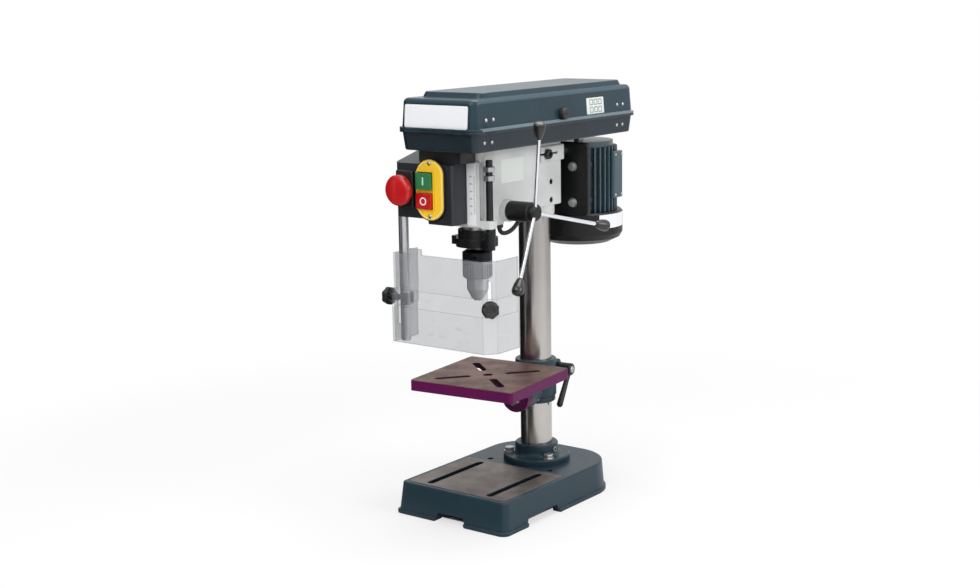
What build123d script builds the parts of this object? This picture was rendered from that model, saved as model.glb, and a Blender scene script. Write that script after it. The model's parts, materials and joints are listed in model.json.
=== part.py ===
from build123d import *
import os
from math import acos, asin, atan2, cos, degrees, hypot, pi, radians, sin, sqrt, tan

# Benchtop drill press, in millimetres, +Z up, front towards -Y, feed handle towards +X.
# Every piece is drawn about the column axis and then moved back by bench_bolt_ahead,
# so that the origin lies midway between the two bench bolt holes on the bench plane.

# Clearances and cutting
run_fit = 0.05              # radial clearance of a shaft that turns or slides in its bore
move_gap = 0.3              # clearance between pieces that move past each other
seat_gap = 0.1              # radial clearance of a fixed round piece in its hole
cut_over = 6.0              # how far a cut runs past what it cuts
bench_bolt_ahead = 43.0     # bench bolt holes in front of the column axis

# Base casting
base_height = 44.0
base_half_width = 92.5
base_front = 202.0          # top edge, in front of the column axis
base_rear = 78.0            # top edge, behind the column axis
base_front_radius = 10.0
base_rear_radius = 62.0
base_side_draft = 2.5
base_end_draft = 7.0
base_wall = 8.0
base_top = 9.0
base_lip = 2.2              # foot rim standing out of the wall
base_lip_height = 5.0
base_edge = 2.5             # rounding of the top edge
arch_height = 12.0
front_arch_half = 26.0
side_arch_half = 38.5
side_arch_ahead = 118.0     # middle of the side arches, in front of the column axis
arch_slope = 4.0
rib = 6.0
rib_depth = 22.0
rib_x = 32.0
bench_bolt_x = 53.0
bench_bolt_hole = 4.5
bench_boss = 12.0
slot_x = 52.0
slot_ahead = 127.0          # middle of the slots, in front of the column axis
slot_length = 124.0
slot_width = 11.0
pad_half_width = 84.0       # machined work area on the base
pad_front = 195.0
pad_rear = 55.0
pad_rise = 0.6

# Column and its flange
column_radius = 23.0
column_wall = 3.5
column_top = 482.0
flange_radius = 49.0
flange_thick = 9.0
collar_radius = 31.5
collar_height = 26.0        # above the base
flange_fillet = 6.0
flange_bolt_circle = 40.0
flange_bolt = 4.0
flange_bolt_angles = (-30.0, -150.0, 90.0)
bolt_head_height = 5.3
bolt_head_radius = 7.5
washer_radius = 8.6
washer_thick = 1.6
flange_boss = 9.0
grub_radius = 4.0
grub_length = 9.0
grub_socket = 2.2

# Spindle line
spindle_reach = 136.0       # spindle axis in front of the column axis
quill_radius = 20.0
quill_bottom = 380.0
quill_top = 486.0
bearing_outer = 16.0
bearing_inner = 6.0
bearing_width = 8.0
spindle_radius = 6.0
spindle_shoulder = 8.5
spindle_top = 574.0
spline_count = 6
spline_depth = 1.2
spline_width = 3.0
spline_from = 470.0

# Feed shaft, rack and pinion
pinion_module = 1.0
pinion_teeth = 16
tooth_rise = 0.8            # tooth height above the pitch line, in modules
tooth_fall = 1.15           # tooth depth below the pitch line, in modules
tooth_backlash = 0.36
pressure_angle = 20.0
rack_width = 9.5            # half width of the teeth
feed_z = 428.0
feed_journal = 9.0
rack_low = 420.0
rack_high = 484.0

# Head casting
head_half_width = 30.0
head_front = 164.0
head_rear = 29.0
head_bottom = 422.0
head_top = 516.0
head_corner = 7.0
head_edge = 2.0
quill_boss_bottom = 409.0
quill_boss_radius = 27.0
column_boss_bottom = 407.0
column_boss_radius = 29.0
bar_z = 496.5
bar_x = 18.0
bar_radius = 7.0
bar_front = 52.0            # front end of the slide bars, in front of the column axis
lock_slot_length = 40.0
lock_slot_height = 3.0
lock_slot_y = -8.0
lock_boss_rise = 3.0
lock_boss_height = 11.0
pocket_half = 22.0
pocket_front = 96.0
pocket_rear = 57.0
pocket_floor = 434.0
head_screw_z = 456.0
head_screw_pitch = 26.0

# Height ring and table bracket on the column
ring_bottom = 133.0
ring_height = 9.0
ring_radius = 28.5
bracket_bottom = 142.3
bracket_top = 196.0
bracket_radius = 30.0
bracket_split = 4.0
ear_half = 17.0
ear_reach = 46.0
ear_low = 160.0
ear_high = 188.0
clamp_y = 38.0
clamp_z = 174.0
clamp_radius = 5.0
clamp_head = 8.0
lever_hub_radius = 9.0
lever_hub_length = 23.0
lever_radius = 4.6
lever_length = 60.0
lever_tilt = 34.0
table_turn = 6.1            # swivel of the table at rest, degrees
pivot_z = 150.0
pivot_radius = 22.0
pivot_face = 50.0           # bracket's tilt face in front of the column axis
pivot_bolt = 6.0
pivot_head_radius = 11.0
pivot_head_height = 7.5

# Table
table_half = 81.0
table_reach = 129.5         # table centre in front of the column axis
table_top = 199.6
table_plate = 8.0
table_rim = 15.0
table_wall = 6.0
table_corner = 5.0
table_edge = 1.0
table_hole = 7.0
table_hole_reach = 136.0    # hole and slots in front of the column axis
table_slot_in = 30.0
table_slot_out = 70.0
table_slot_width = 11.0
table_flange = 12.0
table_rib = 8.0
table_rib_reach = 95.0

# Chuck
chuck_top = 376.0
chuck_radius = 20.6
chuck_cap_bottom = 360.0
sleeve_bottom = 336.0
sleeve_bore = 18.6
chuck_core = 15.0
nose_bottom = 320.0
nose_tip = 307.0
nose_tip_radius = 8.5
chuck_bore = 6.9
jaw_radius = 3.0
jaw_angle = 15.0
jaw_tip_z = 304.0
jaw_length = 23.0
jaw_tip_offset = 2.5
jaw_face = 0.35
key_hole_radius = 2.6
key_hole_z = 366.0
key_hole_depth = 8.0
sleeve_teeth = 30
sleeve_tooth = 2.2
sleeve_tooth_depth = 1.1

# Depth stop
arm_bottom = 380.4
arm_plate = 11.6
arm_clear = 5.0             # below the quill's boss while the quill is up
arm_plate_radius = 29.0
arm_ring_radius = 26.0
rod_x = 40.0
rod_ahead = 23.0            # rod in front of the spindle axis
rod_radius = 4.8
rod_block = 7.0
rod_bottom = 380.4
clamp_ear_reach = 40.0      # split ear of the arm, towards the left
rod_top = 502.0
nut_height = 7.0
nut_radius = 8.2
nut_low_z = 474.0
nut_high_z = 486.0
scale_left = 7.0
scale_right = 40.0
scale_thick = 2.2
scale_bottom = 411.0
scale_top = 499.0
guide_bottom = 409.5
guide_height = 11.0
guide_half = 8.0

# Return spring on the left of the head
spring_cap_radius = 24.0
spring_cap_length = 17.0
spring_wall = 2.5
spring_turns = 4
spring_pitch = 2.6
spring_strip = 0.9
spring_width = 9.0
spring_start_radius = 10.3

# Feed handle
hub_radius = 13.8
hub_length = 45.5
hub_start = 38.0
hub_boss_radius = 15.5      # light boss of the head that the hub runs against
hub_step = 10.0             # narrower outer stretch that carries the spokes
hub_step_radius = 12.2
spoke_root_x = 78.3
spoke_flare = 32.0          # how far the knob centres stand out past the roots
spoke_reach = 119.0
spoke_radius = 2.7
spoke_lean = 16.0           # degrees that the top spoke leans forward
knob_radius = 8.6
knob_length = 25.0

# Belt cover
cover_half_width = 65.5
cover_front = 220.0
cover_tail = 52.0           # rear of the cover behind the motor's axis
cover_corner = 14.0
cover_wall = 2.6
cover_draft = 3.8
tray_top = 540.4
rim_out = 3.4
rim_thick = 3.0
lid_gap = 0.4
lid_height = 41.5           # rim to the edge of the top
lid_draft = 3.2
lid_edge = 7.0
plateau_rise = 7.0
plateau_inset = 11.0
plateau_front_inset = 30.0
plateau_draft = 5.0
tray_mouth = 22.0
hinge_radius = 3.0
hinge_pin = 1.5
hinge_length = 34.0
hinge_front = 130.0
hinge_rear = 70.0
lid_lock_y = -22.0
lid_lock_z = 555.0
lid_lock_radius = 7.8
lid_lock_length = 7.0
lid_lock_shank = 3.0
lid_cam_length = 17.0
lid_cam_thick = 2.0

# Pulleys and belt
pulley_bottom = 523.0
pulley_step = 9.6
pulley_count = 5
pulley_small = 20.0
pulley_grow = 6.0
pulley_used = 1             # belt groove counted from the bottom, starting at 0
groove_depth = 5.2
groove_outer = 8.4
groove_inner = 5.2
sleeve_radius = 10.0
pulley_bearing_outer = 17.5
pulley_bearing_width = 9.0
belt_height = 5.0
belt_inset = 0.4

# Motor
motor_reach = 115.0         # motor axis behind the column axis
motor_core = 50.0
motor_radius = 57.0
motor_fins = 40
motor_fin = 2.6
motor_low = 402.0
motor_high = 505.0
motor_cap_radius = 51.0
motor_cap = 8.0
bell_radius = 65.0
bell_bottom = 354.5
bell_straight = 369.0
bell_floor_radius = 46.0
bell_wall = 2.5
bell_vents = 16
vent_width = 3.6
vent_inner = 20.0
rotor_radius = 7.0
rotor_low = 359.0
rotor_high = 571.0
fan_radius = 55.0
fan_hub = 14.0
fan_height = 18.0
fan_low = 371.0
fan_blades = 8
fan_blade = 2.5
motor_plate_half = 60.0
motor_plate_lead = 67.0     # front of the plate ahead of the motor's axis
motor_plate_thick = 6.0
motor_plate_low = 402.0
motor_plate_high = 508.0
motor_bolt_x = 35.0
motor_bolt_z = (421.0, 473.0)
motor_bolt = 4.0
motor_pad = 9.0
terminal_out = 63.0
terminal_ahead = 1.0        # ahead of the motor's axis
terminal_behind = 24.0      # behind it
terminal_low = 421.0
terminal_high = 490.0
terminal_edge = 4.0
motor_slide_travel = 12.0

# Tension lock on the right of the head
tension_y = -14.0
tension_radius = 4.0
tension_head = 7.0
tension_head_length = 6.0

# Switch housing
switch_left = 91.0
switch_right = 7.0
switch_front = 198.0
switch_wing_rear = 133.4
switch_bottom = 415.0
switch_wing_bottom = 422.0
switch_step_x = 36.0
switch_top_front = 496.0
switch_top_rear = 512.0
switch_wall = 3.0
switch_edge = 3.0
hood_left = 60.0
hood_right = 22.0
hood_front = 190.0
hood_bottom = 498.0
plate_left = 51.0
plate_right = 5.0
plate_low = 421.0
plate_high = 503.0
plate_thick = 4.0
plate_corner = 16.0         # rise of the arch at either end
button_x = 35.0
button_half = 13.0
start_low = 463.0
start_high = 485.0
stop_low = 436.5
stop_high = 457.5
button_proud = 6.0
button_depth = 13.0
button_edge = 1.5
estop_x = 67.0
estop_z = 461.5
estop_plate_out = 19.0
estop_plate_in = 10.6
estop_plate_half_height = 25.0
estop_plate_thick = 6.0
estop_cap_radius = 21.0
estop_cap_thick = 14.0
estop_stem_radius = 8.5
estop_stem = 10.0
estop_socket = 8.0
estop_dome = 5.0

# Drill guard
post_x = -85.0
post_ahead = 190.5
post_radius = 7.0
post_bottom = 247.5
post_stud = 2.8
post_stud_length = 11.0
guard_front = 205.0
guard_left = 97.0
guard_right = 74.6
guard_chamfer = 14.6
guard_side_rear = 140.0
guard_left_rear = 152.0
guard_wall = 2.0
upper_bottom = 296.0
upper_top = 372.0
upper_tab_width = 20.0
upper_tab = 8.0
upper_tab_left = 45.0       # right edge of the tab on the upper screen, left of the middle
lower_bottom = 247.0
lower_top = 322.0
guard_slot_half = 2.6
guard_slot_low = 305.5
guard_slot_high = 346.0
guard_lift = 34.0
front_knob_radius = 12.0
front_knob_length = 11.0
front_knob_shank = 2.2
front_knob_z = 308.4
post_knob_z = 307.0
post_knob_radius = 12.5
post_knob_thick = 9.0
post_knob_neck = 4.8
post_knob_neck_length = 13.0
post_knob_shank = 3.0
clamp_ring_radius = 11.5
clamp_ring_height = 16.0

# Lead between the switch and the motor, held at both ends
lead_radius = 3.0
lead_route = (
    (24.0, -117.0, 408.7),
    (24.0, -117.0, 396.0),
    (30.0, -100.0, 396.0),
    (36.0, -86.0, 411.0),
    (42.0, -84.0, 430.0),
    (30.3, -84.0, 430.0),
)
lead_end_share = 0.6        # part of an end run that its bend may take up
lead_run_share = 0.45       # part of any other run
gland_radius = 5.6
gland_length = 5.0
mains_gland_radius = 7.0
mains_gland_length = 16.0
mains_gland_bore = 3.5
mains_gland_x = 74.0
mains_gland_z = 440.0

# Values worked out from the sizes above
spindle_y = -spindle_reach
pinion_pitch = pinion_module * pinion_teeth / 2
rack_pitch_radius = quill_radius - tooth_rise * pinion_module
feed_y = spindle_y + rack_pitch_radius + pinion_pitch
arm_top = quill_boss_bottom - arm_clear
cover_rear = motor_reach + cover_tail
motor_plate_front = motor_reach - motor_plate_lead
terminal_front = motor_reach - terminal_ahead
terminal_rear = motor_reach + terminal_behind
cover_z = tray_top + rim_thick + lid_gap
hinge_x = -cover_half_width - rim_out - hinge_radius - move_gap
hinge_z = cover_z - lid_gap / 2
lid_top = cover_z + lid_height
tray_bottom = head_top
pulley_height = pulley_step * pulley_count
pulley_top = pulley_bottom + pulley_height
pulley_large = pulley_small + pulley_grow * (pulley_count - 1)
belt_z = pulley_bottom + pulley_step * (pulley_used + 1 / 2)
spindle_belt_radius = pulley_large - pulley_grow * pulley_used
motor_belt_radius = pulley_small + pulley_grow * pulley_used


def block(x0, x1, y0, y1, z0, z1):
    centre = Pos((x0 + x1) / 2, (y0 + y1) / 2, (z0 + z1) / 2)
    return centre * Box(x1 - x0, y1 - y0, z1 - z0)


def disc(radius, z0, z1, x=0, y=0):
    return Pos(x, y, (z0 + z1) / 2) * Cylinder(radius, z1 - z0)


def bar_along_x(radius, x0, x1, y, z):
    return Pos((x0 + x1) / 2, y, z) * Rot(0, 90, 0) * Cylinder(radius, x1 - x0)


def bar_along_y(radius, y0, y1, x, z):
    return Pos(x, (y0 + y1) / 2, z) * Rot(90, 0, 0) * Cylinder(radius, y1 - y0)


def turned(points):
    """Solid of revolution about Z from (radius, height) points."""
    profile = Plane.XZ * make_face(Polyline(*points, close=True))
    return revolve(profile, Axis.Z)


def hexagon(radius, z0, z1, x=0, y=0):
    return Pos(x, y, z0) * extrude(RegularPolygon(radius, 6), z1 - z0)


def hex_bolt_down(radius, length, head_radius, head_height, washer, thick):
    """Hex bolt with its washer resting on z = 0 and its shank pointing down."""
    bolt = disc(washer, 0, thick) + hexagon(head_radius, thick, thick + head_height)
    bolt = chamfer(bolt.edges().group_by(Axis.Z)[-1], head_height / 8)
    return bolt + disc(radius, -length, thick)


def outline(half_width, front, rear, front_radius, rear_radius):
    """Plan outline with rounded corners, front towards -Y, measured from the column axis."""
    corners = (
        (-half_width, -front),
        (half_width, -front),
        (half_width, rear),
        (-half_width, rear),
    )
    plan = Sketch() + make_face(Polyline(*corners, close=True))
    plan = fillet(plan.vertices().group_by(Axis.Y)[0], front_radius)
    return fillet(plan.vertices().group_by(Axis.Y)[-2:][-1], rear_radius)


def prism(plan, z0, z1):
    return Pos(0, 0, z0) * extrude(plan, z1 - z0)


def drafted(low_plan, high_plan, z0, z1):
    return loft(Sketch() + [Pos(0, 0, z0) * low_plan, Pos(0, 0, z1) * high_plan])


def polar(radius, angle):
    return radius * cos(radians(angle)), radius * sin(radians(angle))


# Base, column and flange
def base_plan(inset, drop):
    """Outline of the base: inset moves it inwards, drop is the share of the draft added."""
    return outline(
        base_half_width - inset + base_side_draft * drop,
        base_front - inset + base_end_draft * drop,
        base_rear - inset + base_side_draft * drop,
        base_front_radius - inset / 2,
        base_rear_radius - inset,
    )


def arch_cut(half, along_x, at):
    profile = Polyline(
        (-half, 0),
        (-half + arch_slope, arch_height),
        (half - arch_slope, arch_height),
        (half, 0),
        (half, -cut_over),
        (-half, -cut_over),
        close=True,
    )
    if along_x:
        plane = Plane(origin=(0, at, 0), x_dir=(0, 1, 0), z_dir=(1, 0, 0))
        return extrude(plane * make_face(profile), base_half_width + base_front, both=True)
    plane = Plane(origin=(0, -base_front, 0), x_dir=(1, 0, 0), z_dir=(0, -1, 0))
    return extrude(plane * make_face(profile), base_half_width / 2, both=True)


def slot_cut(x, length, width, z0, z1):
    return Pos(x, -slot_ahead, z0) * extrude(SlotOverall(length, width, 90), z1 - z0)


def base_casting():
    body = drafted(base_plan(0, 1), base_plan(0, 0), 0, base_height)
    body = fillet(body.edges().group_by(Axis.Z)[-1], base_edge)
    foot = prism(base_plan(-base_lip, 1), 0, base_lip_height)
    foot = chamfer(foot.edges().group_by(Axis.Z)[-1], base_lip / 2)
    body += foot
    pad = block(
        -pad_half_width, pad_half_width, -pad_front, -pad_rear,
        base_height - base_edge, base_height + pad_rise,
    )
    body += fillet(pad.edges().filter_by(Axis.Z), base_front_radius / 2)
    cavity_top = base_height - base_top
    body -= prism(base_plan(base_wall, 0), -cut_over, cavity_top)
    rib_low = cavity_top - rib_depth
    inner = base_half_width - base_wall / 2
    body += block(-inner, inner, -pad_rear - rib, -pad_rear, rib_low, cavity_top + rib / 2)
    for side in (-1, 1):
        body += block(
            side * rib_x - rib / 2, side * rib_x + rib / 2, -base_front + base_wall / 2, -pad_rear,
            rib_low, cavity_top + rib / 2,
        )
    for side in (-1, 1):
        body += disc(bench_boss, 0, cavity_top + rib / 2, side * bench_bolt_x, -bench_bolt_ahead)
        body -= disc(
            bench_bolt_hole, -cut_over, base_height + cut_over,
            side * bench_bolt_x, -bench_bolt_ahead,
        )
        body -= slot_cut(side * slot_x, slot_length, slot_width, 0, base_height + cut_over)
    for angle in flange_bolt_angles:
        x, y = polar(flange_bolt_circle, angle)
        body += disc(flange_boss, rib_low, cavity_top + rib / 2, x, y)
        body -= disc(flange_bolt + seat_gap, 0, base_height + cut_over, x, y)
    body -= arch_cut(front_arch_half, False, 0)
    body -= arch_cut(side_arch_half, True, -side_arch_ahead)
    return body


def column_flange():
    top = base_height + collar_height
    plate = disc(flange_radius, base_height, base_height + flange_thick)
    plate = chamfer(plate.edges().group_by(Axis.Z)[-1], flange_thick / 5)
    flange = plate + disc(collar_radius, base_height, top)
    ring = flange.edges().filter_by(GeomType.CIRCLE)
    root = ring.filter_by(lambda e: abs(e.radius - collar_radius) < move_gap).sort_by(Axis.Z)
    flange = fillet(root[0], flange_fillet)
    flange = chamfer(flange.edges().group_by(Axis.Z)[-1], flange_thick / 6)
    flange -= disc(column_radius + seat_gap, base_height - cut_over, top + cut_over)
    for angle in flange_bolt_angles:
        x, y = polar(flange_bolt_circle, angle)
        level = base_height + flange_thick
        flange -= disc(washer_radius + move_gap, level, top - grub_length, x, y)
        flange -= disc(flange_bolt + seat_gap, 0, top, x, y)
    grub_z = top - grub_radius * 2
    flange -= bar_along_x(grub_radius + seat_gap, 0, flange_radius, 0, grub_z)
    return flange


def flange_bolts():
    bolts = Part()
    for angle in flange_bolt_angles:
        x, y = polar(flange_bolt_circle, angle)
        bolt = hex_bolt_down(
            flange_bolt, base_top + flange_thick, bolt_head_radius, bolt_head_height,
            washer_radius, washer_thick,
        )
        bolts += Pos(x, y, base_height + flange_thick) * bolt
    grub_z = base_height + collar_height - grub_radius * 2
    grub = bar_along_x(grub_radius, column_radius, collar_radius + grub_radius / 2, 0, grub_z)
    socket = bar_along_x(grub_socket, collar_radius - grub_radius, collar_radius + grub_radius, 0, grub_z)
    return bolts + (grub - socket)


def column_tube():
    tube = disc(column_radius, base_height, column_top)
    tube -= disc(column_radius - column_wall, base_height - cut_over, column_top + cut_over)
    return chamfer(tube.edges().group_by(Axis.Z)[-1], column_wall / 4)


# Head casting
def head_casting():
    body = block(
        -head_half_width, head_half_width, -head_front, head_rear, head_bottom, head_top
    )
    body = fillet(body.edges().filter_by(Axis.Z), head_corner)
    body = fillet(body.edges().group_by(Axis.Z)[0], head_edge)
    nose = block(
        -head_half_width, head_half_width, -head_front, spindle_y + quill_boss_radius,
        quill_boss_bottom, head_bottom + head_edge * 2,
    )
    nose = fillet(nose.edges().filter_by(Axis.Z), head_corner)
    body += fillet(nose.edges().group_by(Axis.Z)[0], head_edge)
    boss = disc(column_boss_radius, column_boss_bottom, head_bottom + head_edge * 2)
    body += chamfer(boss.edges().group_by(Axis.Z)[0], head_edge)
    for side in (-1, 1):
        rail = block(
            side * head_half_width - lock_boss_rise, side * head_half_width + lock_boss_rise,
            lock_slot_y - lock_slot_length / 2, head_rear,
            bar_z - lock_boss_height, bar_z + lock_boss_height,
        )
        body += fillet(rail.edges(), lock_boss_rise / 2)
    body -= disc(column_radius + seat_gap, column_boss_bottom - cut_over, column_top)
    boss_end = hub_start - move_gap
    body += bar_along_x(hub_boss_radius, head_half_width - head_corner, boss_end, feed_y, feed_z)
    pocket = block(
        -pocket_half, pocket_half, -pocket_front, -pocket_rear, pocket_floor, head_top + cut_over
    )
    body -= fillet(pocket.edges().filter_by(Axis.Z), head_corner)
    # The quill bore, with a wider seat for the pulley bearings above it
    bearing_low = head_top - pulley_bearing_width * 2 - move_gap
    body -= disc(quill_radius + run_fit, quill_boss_bottom - cut_over, bearing_low, 0, spindle_y)
    body -= disc(pulley_bearing_outer, bearing_low, head_top + cut_over, 0, spindle_y)
    body -= bar_along_x(
        feed_journal + run_fit, -head_half_width - cut_over, hub_start + cut_over,
        feed_y, feed_z,
    )
    for side in (-1, 1):
        body -= bar_along_y(bar_radius + run_fit, -bar_front, head_rear + cut_over, side * bar_x, bar_z)
        x_in = side * bar_x
        x_out = side * (head_half_width + lock_boss_rise + cut_over)
        body -= block(
            min(x_in, x_out), max(x_in, x_out),
            lock_slot_y - lock_slot_length / 2, lock_slot_y + lock_slot_length / 2,
            bar_z - lock_slot_height / 2, bar_z + lock_slot_height / 2,
        )
    body -= bar_along_x(
        tension_radius + seat_gap, bar_x + bar_radius, head_half_width + cut_over + lock_boss_rise,
        tension_y, bar_z,
    )
    for level in (0, 1):
        z = head_screw_z - level * head_screw_pitch
        body -= bar_along_x(grub_radius + seat_gap, column_radius, head_half_width + cut_over, 0, z)
    return body


def head_set_screws():
    screws = Part()
    for level in (0, 1):
        z = head_screw_z - level * head_screw_pitch
        end = head_half_width - grub_radius / 4
        screw = bar_along_x(grub_radius, column_radius, end, 0, z)
        screws += screw - bar_along_x(grub_socket, end - grub_radius, end + grub_radius, 0, z)
    return screws


def tension_lock():
    outer = head_half_width + lock_boss_rise
    start = bar_x + bar_radius + move_gap
    screw = bar_along_x(tension_radius, start, outer, tension_y, bar_z)
    head = bar_along_x(tension_head, outer + move_gap, outer + tension_head_length, tension_y, bar_z)
    head = chamfer(head.edges().group_by(Axis.X)[-1], tension_head_length / 5)
    neck = bar_along_x(tension_radius, outer, outer + tension_head_length / 2, tension_y, bar_z)
    socket = Plane(origin=(outer + tension_head_length / 2, tension_y, bar_z), z_dir=(1, 0, 0))
    head -= extrude(socket * RegularPolygon(tension_radius, 6), tension_head_length)
    return screw + neck + head


# Height ring, bracket, table and their clamps
def height_ring():
    ring = disc(ring_radius, ring_bottom, ring_bottom + ring_height)
    ring = chamfer(ring.edges().filter_by(GeomType.CIRCLE), ring_height / 8)
    ring -= disc(column_radius + run_fit, ring_bottom - cut_over, ring_bottom + ring_height + cut_over)
    z = ring_bottom + ring_height / 2
    hole = bar_along_x(grub_socket + seat_gap, 0, ring_radius + cut_over, 0, z)
    return ring - Rot(0, 0, -degrees(pi / 4)) * hole


def in_table(shape):
    """Turns a piece drawn square to the base to the table's swivel at rest."""
    return Rot(0, 0, table_turn) * shape


def table_bracket():
    collar = disc(bracket_radius, bracket_bottom, bracket_top)
    ears = block(-ear_half, ear_half, 0, ear_reach, ear_low, ear_high)
    ears = fillet(ears.edges().filter_by(Axis.X), ear_half / 2)
    boss = bar_along_y(pivot_radius, -pivot_face, 0, 0, pivot_z)
    low = bracket_bottom - cut_over * 4
    boss -= block(
        -pivot_radius, pivot_radius, -bracket_radius - ring_height / 6, 0, low, bracket_bottom
    )
    body = collar + ears + boss
    rim = body.edges().filter_by(GeomType.CIRCLE).group_by(Axis.Z)[-1]
    body = chamfer(rim, bracket_split / 4)
    bore_low = bracket_bottom - pivot_radius
    body -= disc(column_radius + run_fit * 2, bore_low, bracket_top + cut_over)
    body -= block(
        -bracket_split / 2, bracket_split / 2, 0, ear_reach + cut_over,
        bore_low, bracket_top + cut_over,
    )
    ear_over = ear_half + cut_over
    body -= bar_along_x(clamp_radius + seat_gap, -ear_over, ear_over, clamp_y, clamp_z)
    body -= bar_along_y(pivot_bolt + seat_gap, -pivot_face - cut_over, -column_radius, 0, pivot_z)
    return in_table(body)


def bracket_clamp_bolt():
    end = ear_half + lever_hub_length + move_gap * 4
    bolt = bar_along_x(clamp_radius, -ear_half, end, clamp_y, clamp_z)
    head = Plane(origin=(-ear_half, clamp_y, clamp_z), z_dir=(-1, 0, 0))
    bolt += extrude(head * RegularPolygon(clamp_head, 6), clamp_radius)
    return in_table(chamfer(bolt.edges().group_by(Axis.X)[-1], clamp_radius / 5))


def table_lock_lever():
    start = ear_half + move_gap
    hub = bar_along_x(lever_hub_radius, start, start + lever_hub_length, clamp_y, clamp_z)
    hub = chamfer(hub.edges().filter_by(GeomType.CIRCLE), lever_radius / 3)
    drop = sin(radians(lever_tilt)), cos(radians(lever_tilt))
    arm_x = start + lever_hub_length - lever_radius
    reach = lever_length - lever_radius
    arm_start = (arm_x, clamp_y, clamp_z)
    along = Plane(origin=arm_start, z_dir=(0, -drop[0], -drop[1]))
    arm = extrude(along * Circle(lever_radius * 4 / 5), reach)
    grip = loft(Sketch() + [
        along.offset(reach / 3) * Circle(lever_radius * 4 / 5),
        along.offset(reach) * Circle(lever_radius),
    ])
    tip = (arm_x, clamp_y - drop[0] * reach, clamp_z - drop[1] * reach)
    arm += grip + Pos(*tip) * Sphere(lever_radius)
    hub = hub + arm
    hub -= bar_along_x(clamp_radius + run_fit, 0, start + lever_hub_length + cut_over, clamp_y, clamp_z)
    return in_table(hub)


def table():
    centre = Pos(0, -table_reach, 0)
    middle = Pos(0, -table_hole_reach, 0)
    plan = fillet(Rectangle(table_half * 2, table_half * 2).vertices(), table_corner)
    body = centre * prism(plan, table_top - table_rim, table_top)
    body = chamfer(body.edges().group_by(Axis.Z)[-1], table_edge)
    inner = Rectangle(table_half * 2 - table_wall * 2, table_half * 2 - table_wall * 2)
    under = table_top - table_plate
    body -= centre * prism(inner, table_top - table_rim - cut_over, under)
    face = pivot_face + move_gap
    disc_back = bar_along_y(pivot_radius, -face - table_flange, -face, 0, pivot_z)
    web = block(-pivot_radius, pivot_radius, -face - table_flange, -face, pivot_z, under + table_edge)
    body += disc_back + web
    for x in (-pivot_radius + table_rib / 2, pivot_radius - table_rib / 2):
        side = Plane(origin=(x - table_rib / 2, 0, 0), x_dir=(0, 1, 0), z_dir=(1, 0, 0))
        gusset = Polyline(
            (-face - table_flange / 2, pivot_z),
            (-face - table_flange / 2, under + table_edge),
            (-face - table_rib_reach, under + table_edge),
            (-face - table_rib_reach, under - table_rim + table_plate),
            (-face - table_flange * 2, pivot_z + table_rib / 2),
            close=True,
        )
        body += extrude(side * make_face(gusset), table_rib)
    rib_low = table_top - table_rim
    inner_half = table_half - table_wall / 2
    body += block(
        -table_rib / 2, table_rib / 2, -table_reach - inner_half, -table_reach + inner_half,
        rib_low, under + table_edge,
    )
    body += middle * block(
        -inner_half, inner_half, -table_rib / 2, table_rib / 2, rib_low, under + table_edge
    )
    body += middle * disc(table_hole + table_wall, rib_low, under + table_edge)
    out = (table_slot_in + table_slot_out) / 2
    length = table_slot_out - table_slot_in + table_slot_width
    for quarter in range(4):
        slot = Pos(out, 0, rib_low - cut_over) * extrude(
            SlotOverall(length, table_slot_width), table_rim + cut_over * 2
        )
        body -= middle * Rot(0, 0, 45 + quarter * 90) * slot
    body -= middle * disc(table_hole, rib_low - cut_over, table_top + cut_over)
    body -= bar_along_y(pivot_bolt + seat_gap, -face - table_flange * 2, 0, 0, pivot_z)
    return in_table(body)


def tilt_bolt():
    """Bolt through the tilt faces, fixed to the bracket, with a nut in front of the table's arm."""
    front = pivot_face + move_gap * 2 + table_flange
    rear = -column_radius - move_gap * 2
    bolt = bar_along_y(pivot_bolt, -front - pivot_head_height * 2, rear, 0, pivot_z)
    nut = Plane(origin=(0, -front, pivot_z), z_dir=(0, -1, 0))
    hexes = extrude(nut * RegularPolygon(pivot_head_radius, 6), pivot_head_height)
    hexes = chamfer(hexes.edges().group_by(Axis.Y)[0], pivot_head_height / 8)
    return in_table(bolt + hexes)


# Quill, spindle, chuck
def quill():
    body = disc(quill_radius, quill_bottom, quill_top, 0, spindle_y)
    body = chamfer(body.edges().filter_by(GeomType.CIRCLE), spline_depth / 2)
    seat = bearing_width + move_gap
    body -= disc(bearing_outer, quill_bottom - cut_over, quill_bottom + seat, 0, spindle_y)
    body -= disc(bearing_outer, quill_top - seat, quill_top + cut_over, 0, spindle_y)
    body -= disc(bearing_outer - bearing_width / 4, 0, column_top, 0, spindle_y)
    pitch = pi * pinion_module
    half = pitch / 4 + tooth_backlash / 4
    slope = tan(radians(pressure_angle))
    inner = rack_pitch_radius - tooth_fall * pinion_module
    outer = quill_radius + pinion_module
    count = int((rack_high - rack_low) / pitch)
    first = feed_z - pitch * int((feed_z - rack_low) / pitch)
    low_half = half - (rack_pitch_radius - inner) * slope
    high_half = half + (outer - rack_pitch_radius) * slope
    gaps = Part()
    for index in range(count):
        z = first + index * pitch
        profile = Polyline(
            (spindle_y + inner, z - low_half),
            (spindle_y + outer, z - high_half),
            (spindle_y + outer, z + high_half),
            (spindle_y + inner, z + low_half),
            close=True,
        )
        side = Plane(origin=(-rack_width - pinion_module, 0, 0), x_dir=(0, 1, 0), z_dir=(1, 0, 0))
        gaps += extrude(side * make_face(profile), (rack_width + pinion_module) * 2)
    return body - gaps


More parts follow.
